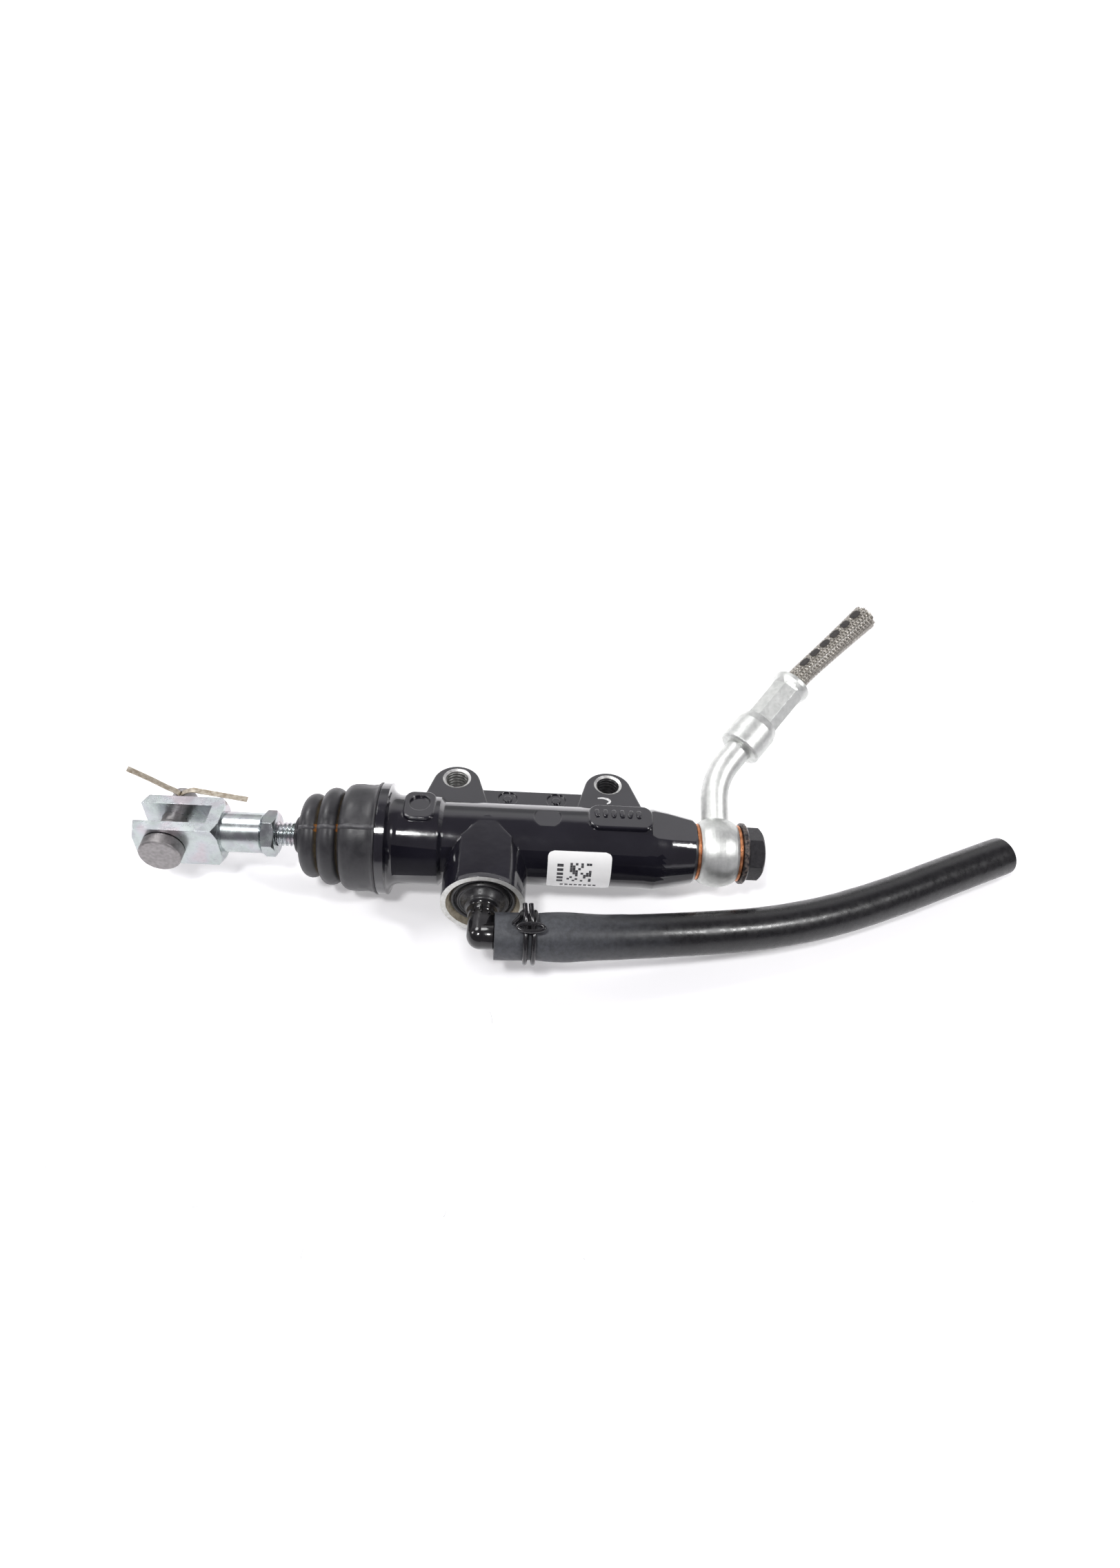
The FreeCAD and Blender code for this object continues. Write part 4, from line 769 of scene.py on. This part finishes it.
def make_hose(rubber):
    path = route_points(HOSE_ROUTE, "feed_hose_line")
    reach, reaches = 0.0, []
    for i, point in enumerate(path):
        reach += (point - path[i - 1]).length if i else 0.0
        reaches.append(reach)
    sides, bore_rad = 56, 3.0
    around = frames(path, Z)
    outer, inner = [], []
    for point, r, turned in zip(path, reaches, around):
        wear_and_seam_highlight = 0.05 * math.exp(-(reaches[-1] - r) / 0.5)
        ring, bore = [], []
        for angle in even_angles(sides):
            out = outward(turned, angle)
            spot = Vector((r * 0.22, math.cos(angle) * 1.5, math.sin(angle) * 1.5))
            ring.append(point + out * (hose_radius(r) + 0.05 * noise.noise(spot) - wear_and_seam_highlight))
            bore.append(point + out * bore_rad)
        outer.append(ring)
        inner.append(bore)
    forward = around[-1][0]
    cut = []
    for share in (0.02, 0.25, 0.5, 0.75, 0.98):
        ring = []
        for k, (a, b) in enumerate(zip(outer[-1], inner[-1])):
            rough = 0.16 * noise.noise(Vector((k * 0.5, share * 5, 1))) if 0.1 < share < 0.9 else 0.0
            ring.append(a.lerp(b, share) + forward * (0.18 * math.sin(math.pi * share) + rough))
        cut.append(ring)
    near = [[a.lerp(b, share) - around[0][0] * 0.12 * math.sin(math.pi * share) for a, b in
             zip(outer[0], inner[0])] for share in (0.9, 0.5, 0.1)]
    rings = outer + cut + inner[::-1] + near
    hose = skin("feed_hose_rubber", rings, rubber, loop=True, sharp=50)
    return finish_piece(hose, "inlet_set", "hose_rubber", "feed_hose"), path


def make_clip(steel):
    """Double-wire spring clip: two coils, an oval cross loop, two upright ends, two fanned wires."""
    centre = Vector((0.6, BORE.y - 28.65, BORE.z - 0.1))
    radius, wire = 5.72, 0.55
    made = []

    def on_hose(x, elevation, rise=0.0):
        """A point over the hose, 'elevation' degrees up from the side away from the ears."""
        a = math.radians(elevation)
        return centre + Vector((x, -math.cos(a) * (radius + rise), math.sin(a) * (radius + rise)))

    for x in (-0.93, 0.93):
        ring = [on_hose(x, angle) for angle in range(0, 360, 6)]
        made.append(sweep("coil", ring, lambda share: disc(wire, 14), steel, first=X, closed=True))
    for x, top in ((-0.85, -1.4), (0.55, -0.02)):
        up = [on_hose(x, 62, 0.05), on_hose(x, 74, 0.75), on_hose((x + top) / 2, 92, 1.9),
              on_hose(top, 110, 3.2)]
        path = dense_tips(flowing(up, 6))
        made.append(sweep("end", path, round_wire(wire, 14, 0.5, 6.5), steel, first=X))
    for side, near, far in ((-1, -2.5, -4.0), (1, 1.35, 1.5)):
        fan = [on_hose(side * 0.95, 150, 0.15), on_hose((side * 0.95 + near) / 2, 118, 0.5),
               on_hose(near, 95, 0.7), on_hose(far, 77, 0.8)]
        made.append(sweep("fan", flowing(fan, 6), round_wire(wire, 14, 0.4, 8.0), steel, first=X))
    tilt = math.radians(71)
    out = Vector((0, -math.cos(tilt), math.sin(tilt)))
    across = Vector((0, math.sin(tilt), math.cos(tilt)))
    loop = [centre + out * (radius + 1.6) + X * (2.95 * math.cos(a) + 0.15)
            + across * (0.9 * math.sin(a)) for a in even_angles(48)]
    made.append(sweep("loop", loop, lambda share: disc(0.46, 14), steel, first=out, closed=True))
    return finish_piece(join(made, "hose_clip_wire"), "inlet_set", "clip_steel", "hose_clip")


# ---------------------------------------------------------------- brake hose stub

NECK_TURN = Matrix.Rotation(math.radians(29.9), 3, "X")
NECK_BEND = math.radians(38.3)
STUB_BEND = math.radians(6.4)
STUB_LONG = 29.6
NECK_RUN = 19.3
FERRULE_START, FERRULE_LONG = 10.9, 24.5
# along the line of the hose, from a point inside the ferrule:
# its first drawn point, the mouth of the ferrule, and the corner of its bend
LINE_START, MOUTH, BEND_AT = 8.0, 14.0, 17.0
BEND_RAD = 60.0
STUB_START = FERRULE_START + FERRULE_LONG - MOUTH
COVER_OUT, COVER_IN = 3.12, 2.98
PRINT_ANGLE = 3.75


def stub_path(extra, steps):
    """Centre line of the short brake hose, from inside the ferrule to its cut end."""
    along = Vector((math.sin(NECK_BEND), math.cos(NECK_BEND), 0))
    start = EYE + NECK_TURN @ (Vector((0, NECK_RUN, 0)) + along * STUB_START)
    forward = NECK_TURN @ along
    side = NECK_TURN @ Vector((math.cos(NECK_BEND), -math.sin(NECK_BEND), 0))
    long = STUB_LONG + extra
    last = forward * (MOUTH + math.cos(STUB_BEND) * long) + side * math.sin(STUB_BEND) * long
    corner = forward * BEND_AT
    curve_reach = BEND_RAD * math.tan((last - corner).angle(forward) / 2)
    out = (last - corner).normalized()
    first, second = corner - forward * curve_reach, corner + out * curve_reach
    path = []
    total = (first - forward * LINE_START).length + (last - second).length + 2 * curve_reach
    for k in range(steps + 1):
        reach = LINE_START + total * k / steps
        if reach < first.length:
            point = forward * reach
        elif reach < first.length + 2 * curve_reach:
            t = (reach - first.length) / (2 * curve_reach)
            point = first * (1 - t) ** 2 + corner * 2 * t * (1 - t) + second * t * t
        else:
            left = reach - first.length - 2 * curve_reach
            point = second + out * left
            if left > (last - second).length:
                point = last
        path.append(start + point)
    unique = [path[0]]
    for point in path[1:]:
        if (point - unique[-1]).length > 0.05:
            unique.append(point)
    return unique, side


def flare(share):
    """How much wider the loose end is than the hose in the ferrule."""
    t = max(0.0, (share - 0.3) / 0.7)
    return 1.0 + 0.24 * t ** 1.7


def make_cover(plastic):
    """Clear cover, opening towards its cut end."""
    line, side = stub_path(0.0, 60)
    rings_out, rings_in = [], []
    for i, (point, turned) in enumerate(zip(line, frames(line, side))):
        wide = flare(i / (len(line) - 1))
        for rings, radius in ((rings_out, COVER_OUT), (rings_in, COVER_IN)):
            rings.append([point + outward(turned, a) * radius * wide for a in even_angles(48)])
    cover = skin("brake_hose_clear_cover", rings_out + rings_in[::-1], plastic, loop=True, sharp=50)
    finish_piece(cover, "housing", "clear_cover", "brake_hose_cover")


def braid_strand(line, around, start, turn_rate, over):
    """Points of one flat strand wound about the line; it weaves over and under by 'over'."""
    path, outs = [], []
    reach = 0.0
    for i, (point, turned) in enumerate(zip(line, around)):
        reach += (point - line[i - 1]).length if i else 0.0
        out = outward(turned, start + turn_rate * reach)
        wide = flare(i / (len(line) - 1))
        lift = over * math.cos(12 * abs(turn_rate) * reach)
        path.append(point + out * (2.64 * wide + lift))
        outs.append(out)
    return path, outs


STRAND = ((-0.31, -0.06), (-0.23, 0.09), (-0.1, 0.17), (0.1, 0.17), (0.23, 0.09), (0.31, -0.06),
          (0, -0.1))


def frayed_wires(steel, line, around, side):
    """Loose wires standing out of the cut end of the braid."""
    forward = around[-1][0]
    wires = []
    for _ in range(46):
        angle = draw.uniform(0, FULL)
        radius = draw.uniform(2.2, 2.85) * flare(1.0)
        out = outward(around[-1], angle)
        root = line[-1] + out * radius - forward * 0.6
        lean = (out * draw.uniform(-0.2, 0.35) + forward.cross(out) * draw.uniform(-0.6, 0.6)
                + forward).normalized()
        tip = root + lean * draw.uniform(0.8, 1.45) + out * draw.uniform(-0.1, 0.15)
        wires.append(sweep("hair", flowing([root, root + lean * 0.55, tip], 3),
                           lambda share: disc(0.07, 5), steel, first=side))
    return wires


def print_dash(dark, line, around, start):
    """A blank dash lying on the cover, beginning at a share of the line."""
    rings = []
    for share, spread in ((0, 0.36), (0.25, 0.6), (0.5, 0.6), (0.75, 0.6), (1, 0.36)):
        index = round(len(line) * (start + share * 0.078))
        ring = []
        for step in range(7):
            out = outward(around[index], PRINT_ANGLE + (step / 6 - 0.5) * spread)
            ring.append(line[index] + out * (COVER_OUT + 0.02) * flare(index / (len(line) - 1)))
        rings.append(ring + [p.lerp(line[index], 0.03) for p in ring[::-1]])
    return skin("dash", rings, dark, sharp=60)


def make_braid(steel, dark):
    """Braided steel under the cover: twelve flat strands each way, frayed at the cut."""
    line, side = stub_path(0.2, 150)
    around = frames(line, side)
    rate = FULL / 13.0
    ribbons = []
    for hand in (-1, 1):
        for start in even_angles(12):
            path, outs = braid_strand(line, around, start, hand * rate, 0.15 * hand)
            rings = []
            for point, out, forward in zip(path, outs, directions(path)):
                across = forward.cross(out).normalized()
                rings.append([point + across * a + out * b for a, b in STRAND])
            ribbons.append(skin("strand", rings, steel, sharp=70))
    ribbons += frayed_wires(steel, line, around, side)
    finish_piece(join(ribbons, "brake_hose_braid_strands"), "housing", "braid", "brake_hose_braid")
    marks = [print_dash(dark, line, around, 0.29 + 0.114 * k) for k in range(6)]
    core = []
    for i, (point, turned) in enumerate(zip(line, around)):
        radius = 2.42 * flare(i / (len(line) - 1))
        core.append([point + outward(turned, a) * radius for a in even_angles(32)])
    marks.append(skin("core", core[:-2], dark, caps=False, sharp=60))
    finish_piece(join(marks, "brake_hose_print"), "housing", "braid")


# ---------------------------------------------------------------- small things on the casting

def barrel_patch(x, elevation, rise=0.0):
    """A point on the barrel, 'elevation' degrees up from the side away from the ears."""
    a = math.radians(elevation)
    radius = 9.99 + rise
    return Vector((x, BORE.y - math.cos(a) * radius, BORE.z + math.sin(a) * radius))


def make_label(paper, ink):
    """Plain white label with rounded corners; blank blocks and bars stand for its print."""
    left, right, low, high, corner = 4.3, 19.7, -34.0, 40.5, 1.5
    per_mm = math.degrees(1 / 10.0)
    columns, rows = 31, 34
    rings = []
    for j in range(rows + 1):
        v = low + (high - low) * j / rows
        from_edge = min(v - low, high - v) / per_mm
        inset = corner - math.sqrt(max(corner ** 2 - max(corner - from_edge, 0.0) ** 2, 0.0))
        row = [left + inset + (right - left - 2 * inset) * i / columns for i in range(columns + 1)]
        rings.append([barrel_patch(x, v, 0.11) for x in row] +
                     [barrel_patch(x, v) for x in reversed(row)])
    label = skin("label_sheet", rings, paper, sharp=60)
    finish_piece(label, "housing", "cast_black")
    marks = []

    def mark(x, v, wide, tall):
        half_x, half_v = wide / 2, tall / 2 * per_mm
        rings = [[barrel_patch(x + a * half_x, v + b * half_v, rise) for a, b in SQUARE]
                 for rise in (0.10, 0.135)]
        marks.append(skin("mark", rings, ink, sharp=20))

    for row in range(9):
        for column in range(9):
            if draw.random() < 0.52:
                mark(9.4 + column * 0.66, -8.0 + row * 0.66 * per_mm, 0.62, 0.62)
    for k in range(5):
        mark(7.4, -9.0 + k * 7.2, 1.5, 0.8)
    for k in range(8):
        mark(8.0 + k * 1.15, -21.0, 0.75, 0.9)
    finish_piece(join(marks, "label_print_blocks"), "housing", "cast_black")


def make_code_bars(paint):
    """Blank raised bars where the casting carries its code."""
    wide, deep, tall = 1.2, 2.4, 0.46
    bars = []
    for k in range(6):
        lean = draw.uniform(-0.25, 0.25)
        centre = Vector((15.9 + k * 2.05, BORE.y + 1.4, BORE.z + 10.65))
        rings = []
        for rise, shrink in ((-0.5, 1.0), (tall * 0.55, 1.0), (tall * 0.9, 0.86), (tall, 0.62)):
            ring = []
            for a in even_angles(20):
                c, s = math.cos(a), math.sin(a)
                dx = math.copysign(abs(c) ** 0.55, c) * wide / 2 * shrink
                dy = math.copysign(abs(s) ** 0.55, s) * deep / 2 * shrink
                x = dx * math.cos(lean) - dy * math.sin(lean)
                y = dx * math.sin(lean) + dy * math.cos(lean)
                ring.append(centre + X * x + Y * y + Z * rise)
            rings.append(ring)
        bars.append(skin("bar", rings, paint, sharp=50))
    finish_piece(join(bars, "casting_code_bars"), "housing", "cast_black")


def make_hole_threads(steel, dark):
    """Thread turns in the two mounting holes."""
    for index, hole in enumerate(EAR_HOLES):
        rings = []
        pitch, turns, sides = 1.0, 7, 36
        for row in range(turns * 8 + 1):
            z = -0.75 - row * pitch / 8
            ring = []
            for k, angle in enumerate(even_angles(sides)):
                phase = (row / 8 + k / sides) % 1.0
                radius = 2.99 - 0.30 * max(0.0, 1 - abs(phase - 0.5) * 2.6)
                ring.append(hole + Vector((radius * math.cos(angle), radius * math.sin(angle), z)))
            rings.append(ring)
        back = [[Vector((hole.x + 3.05 * math.cos(a), hole.y + 3.05 * math.sin(a), ring[0].z))
                 for a in even_angles(sides)] for ring in (rings[-1], rings[0])]
        # the right hole's thread takes the dark finish: painted shade in that recess
        made = skin(f"ear_thread_{('left', 'right')[index]}", rings + back, (steel, dark)[index],
                    loop=True, sharp=60)
        finish_piece(made, "housing", "cast_black")


def make_paint_dab(paint):
    """A small dab of white marking paint on the right ear."""
    centre = Vector((18.2, -6.3, 0.0))
    path = []
    for k in range(15):
        t = k / 14
        angle = -0.9 + 3.0 * t
        path.append(centre + Vector((2.1 * math.cos(angle), 1.15 * math.sin(angle), 0.0)))

    def stroke(share):
        wide = 0.42 * (0.55 + 0.45 * math.sin(math.pi * share))
        return [(-wide, -0.03), (-wide * 0.6, 0.05), (0, 0.065), (wide * 0.6, 0.05), (wide, -0.03)]
    finish_piece(sweep("ear_paint_dab", path, stroke, paint, first=Z), "housing", "cast_black")


# ---------------------------------------------------------------- finishes on the CAD nodes

def faces_front(face):
    """True for the smooth front of the barrel, from level to 38 degrees up."""
    normal, spot = face.normal, face.center / MM
    rise = math.degrees(math.atan2(normal.z, -normal.y))
    near = math.hypot(spot.y - BORE.y, spot.z - BORE.z) < 11.5
    return near and spot.x < 32.5 and abs(normal.x) < 0.4 and -3.0 < rise < 38.0


def paint_casting(paint, rim, tan, bright, threads, dark, front):
    """Gives the casting's machined faces their own finish, face by face; the front of the barrel takes a
    duller copy of the paint as painted shade, and the inside of the right ear hole a dark finish as
    painted shade.
    """
    painted, on_rim, in_inlet, on_chamfer, in_left, in_right, in_front = range(7)
    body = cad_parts["cylinder_body"]
    body.data.materials.clear()
    for material in (paint, rim, tan, bright, threads, dark, front):
        body.data.materials.append(material)
    for face in body.data.polygons:
        spot = face.center / MM
        from_boss = Vector((spot.x - BOSS.x, 0, spot.z - BOSS.z))
        from_bore = Vector((0, spot.y - BORE.y, spot.z - BORE.z))
        # the front of the barrel takes the duller paint copy: painted shade
        index = in_front if faces_front(face) else painted
        if spot.y < RIM_Y + 0.05 and face.normal.y < -0.98:
            index = on_rim
        elif spot.y < RIM_Y + 9.0 and from_boss.length < 8.9 and face.normal.dot(from_boss) < 0:
            index = in_inlet
        elif from_bore.length < 8.4 and face.normal.dot(from_bore) < 0 and spot.x < 42:
            index = on_rim
        for hole in EAR_HOLES:
            near = math.hypot(spot.x - hole.x, spot.y - hole.y) < 3.75 and spot.z > -9.05
            if near and abs(face.normal.z) <= 0.98:
                # the right hole's inner faces take the dark finish: painted shade in that recess
                inside = in_left if hole.x < 0 else in_right
                index = on_chamfer if spot.z > -0.42 else inside
        face.material_index = index


def dress(node, material):
    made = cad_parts[node]
    made.data.materials.clear()
    made.data.materials.append(material)
    made.data.shade_smooth()
    made.data.set_sharp_from_angle(angle=math.radians(28))


# ---------------------------------------------------------------- stage, light, camera

def make_floor():
    """White sheet that curves up far behind, painted darker and lavender towards the front and right as
    painted shade, and glowing more towards the back as painted light; faint hairline marks on it.
    """
    s = Shader("floor_white", (0.86, 0.855, 0.865), 0.38, Specular_IOR_Level=0.35)
    cloudy = s.ramp(s.noise(60, 3), (0.3, (0.83, 0.825, 0.845)), (0.7, (0.88, 0.875, 0.885)))
    # painted shade: the floor turns darker and lavender towards the camera and the right, for light
    # falling off
    near = s.times(s.along(Vector((0.35, -1, 0)), Vector((20, -75, 0))), 0.012)
    s.set("Base Color", s.mix(s.ramp(near, (0.0, 0.0), (0.9, 1.0)), cloudy, (0.72, 0.715, 0.745)))
    s.set("Roughness", s.ramp(s.noise(12, 3), (0.3, 0.3), (0.7, 0.45)))
    # painted light: the floor glows, faintly near the object and more strongly far behind
    far = s.times(s.along(Y, Vector((0, -125, 0))), 0.002)
    s.set("Emission Color", (1.0, 0.99, 1.0, 1.0))
    s.set("Emission Strength", s.ramp(far, (0.0, 0.09), (0.18, 0.28), (0.75, 0.95)))
    half = 9000.0
    points = [Vector((x * half, y * half, FLOOR_Z)) for x, y in SQUARE]
    points += [Vector((-half, half, 1500)), Vector((half, half, 1500))]
    floor = add_mesh("floor", points, [(0, 1, 2, 3), (3, 2, 5, 4)], s.done())
    marks = []
    material = blotched("floor_marks", (0.55, 0.54, 0.56), 0.7,
                        tones=(2, 2, (0.3, (0.50, 0.49, 0.51)), (0.7, (0.72, 0.71, 0.73))))
    for _ in range(46):
        centre = Vector((draw.uniform(-110, 130), draw.uniform(-115, 95), FLOOR_Z + 0.03))
        heading = draw.uniform(0, FULL)
        long = draw.uniform(0.3, 9.0) if draw.random() < 0.4 else draw.uniform(0.2, 0.6)
        bow = draw.uniform(-0.15, 0.15) * long
        step = Vector((math.cos(heading), math.sin(heading), 0))
        turn = Vector((-step.y, step.x, 0))
        path = [centre + step * (t - 0.5) * long + turn * bow * (1 - (2 * t - 1) ** 2)
                for t in (0, 0.25, 0.5, 0.75, 1)]
        wide = draw.uniform(0.04, 0.09)
        marks.append(sweep("scratch", path, lambda share: [(-wide, 0), (0, 0.01), (wide, 0)],
                           material, first=Z))
    join(marks, "floor_hairlines")


def disc_light(name, place, aim, size, power):
    light = bpy.data.lights.new(name, "AREA")
    light.energy = power
    light.shape = "DISK"
    light.size = size * MM
    made = bpy.data.objects.new(name, light)
    bpy.context.scene.collection.objects.link(made)
    made.location = place * MM
    made.rotation_mode = "QUATERNION"
    made.rotation_quaternion = ((aim - place) * MM).to_track_quat("-Z", "Y")


def make_world():
    """Pale backdrop behind the object, dim room above and behind the camera."""
    world = bpy.data.worlds.new("room")
    bpy.context.scene.world = world
    world.use_nodes = True
    tree = world.node_tree
    tree.nodes.clear()
    out, back, place, split, ramp = (tree.nodes.new("ShaderNode" + kind) for kind in (
        "OutputWorld", "Background", "TexCoord", "SeparateXYZ", "ValToRGB"))
    tree.links.new(place.outputs["Generated"], split.inputs[0])
    tree.links.new(split.outputs["Y"], ramp.inputs["Fac"])
    tree.links.new(ramp.outputs["Color"], back.inputs["Color"])
    tree.links.new(back.outputs[0], out.inputs[0])
    bar = ramp.color_ramp
    bar.elements[0].position, bar.elements[0].color = 0.45, (0.20, 0.19, 0.21, 1)
    bar.elements[1].position, bar.elements[1].color = 0.64, (1.0, 0.98, 1.02, 1)
    for position, level in ((0.79, 1.0), (0.90, 0.45)):
        bar.elements.new(position).color = (level, level, level, 1)
    back.inputs["Strength"].default_value = 1.0


def make_lights():
    aim = Vector((10, -20, -5))
    disc_light("lamp_front_left", EYE + Vector((-0.308, -0.443, 0.840)) * 620, aim, 90, 1.7)
    disc_light("lamp_front_right", EYE + Vector((0.618, -0.308, 0.717)) * 620, aim, 90, 1.7)
    disc_light("lamp_left", aim + Vector((-0.8886, -0.0407, 0.4569)) * 520, aim, 90, 0.35)
    disc_light("lamp_back", aim + Vector((-0.45, 0.30, 0.84)) * 700, aim, 260, 1.8)


def make_camera():
    """The photograph's viewpoint: 43 degrees above the floor, nearly square to the bore."""
    camera = bpy.data.cameras.new("camera")
    camera.lens = 20.226
    camera.sensor_width = 36.0
    camera.clip_start = 0.01
    camera.clip_end = 10.0
    made = bpy.data.objects.new("camera", camera)
    bpy.context.scene.collection.objects.link(made)
    target, distance = Vector((7.261, -0.490, 0.0)), 233.659
    elevation, swing, roll = math.radians(43.194), math.radians(-3.121), math.radians(4.745)
    back = Vector((math.sin(swing) * math.cos(elevation), -math.cos(swing) * math.cos(elevation),
                   math.sin(elevation)))
    right = Z.cross(back).normalized()
    up = back.cross(right)
    tilted = right * math.cos(roll) + up * math.sin(roll)
    upright = up * math.cos(roll) - right * math.sin(roll)
    turn = Matrix((tilted, upright, back)).transposed()
    made.matrix_world = Matrix.Translation((target + back * distance) * MM) @ turn.to_4x4()
    bpy.context.scene.camera = made


# ---------------------------------------------------------------- build

def main():
    make_camera()
    steel, head, satin = zinc(), made_of("plain_steel"), made_of("galvanised")
    bare = bare_alloy("rim_alloy", (0.66, 0.66, 0.64), (0.50, 0.50, 0.47), 0.4)
    tan = bare_alloy("inlet_wall", (0.52, 0.47, 0.37), (0.33, 0.28, 0.20), 0.6)
    bright = bare_alloy("chamfer_alloy", (0.74, 0.74, 0.73), (0.5, 0.5, 0.48))
    paint = gloss_black()
    bar_steel, hard_seal = made_of("spring_steel"), made_of("seal_rubber")
    thread = bare_alloy("thread_alloy", (0.36, 0.36, 0.35), (0.15, 0.15, 0.145))
    # painted shade: a dark rubber finish lines the right ear hole
    shaded_hole_finish = made_of("seal_rubber")
    # painted shade: a duller copy of the gloss paint, with little shine and no coat, for the front of
    # the barrel
    front = gloss_black("cast_black_front", 0.1, 0.0)
    paint_casting(paint, bare, tan, bright, thread, shaded_hole_finish, front)
    for node, material, slot in (
            ("locknut", steel, "zinc_steel"), ("clevis", steel, "zinc_steel"),
            ("clevis_pin", head, "plain_steel"), ("bore_circlip", bar_steel, "spring_steel"),
            ("pushrod_stop_washer", bar_steel, "plain_steel"),
            ("piston", made_of("anodised"), "anodised"),
            ("secondary_cup", hard_seal, "seal_rubber"), ("primary_cup", hard_seal, "seal_rubber"),
            ("spring_seat", bar_steel, "plain_steel"),
            ("copper_washer_inner", made_of("copper"), "copper"),
            ("copper_washer_outer", made_of("copper"), "copper"),
            ("banjo_eye", satin, "galvanised"), ("banjo_neck_tube", satin, "galvanised"),
            ("crimp_ferrule", satin, "galvanised"),
            ("brake_hose_liner", made_of("liner"), "liner"),
            ("banjo_bolt", bolt_black(), "bolt_black")):
        dress(node, material)
    make_boot(boot_rubber(SEAM))
    make_pushrod(steel)
    make_cotter(made_of("cotter_steel"))
    make_pin_step(head)
    make_return_spring(bar_steel)
    make_grommet(hard_seal)
    make_elbow(made_of("elbow_plastic"))
    hose, path = make_hose(feed_rubber())
    clip = make_clip(made_of("clip_steel"))
    make_cover(made_of("clear_cover"))
    make_braid(made_of("braid"), made_of("braid_tracer"))
    make_label(made_of("label_white"), made_of("label_print"))
    make_code_bars(paint)
    make_hole_threads(thread, shaded_hole_finish)
    make_paint_dab(made_of("paint_dab"))
    make_floor()
    make_world()
    make_lights()
    bpy.context.scene.view_settings.view_transform = "Standard"


main()
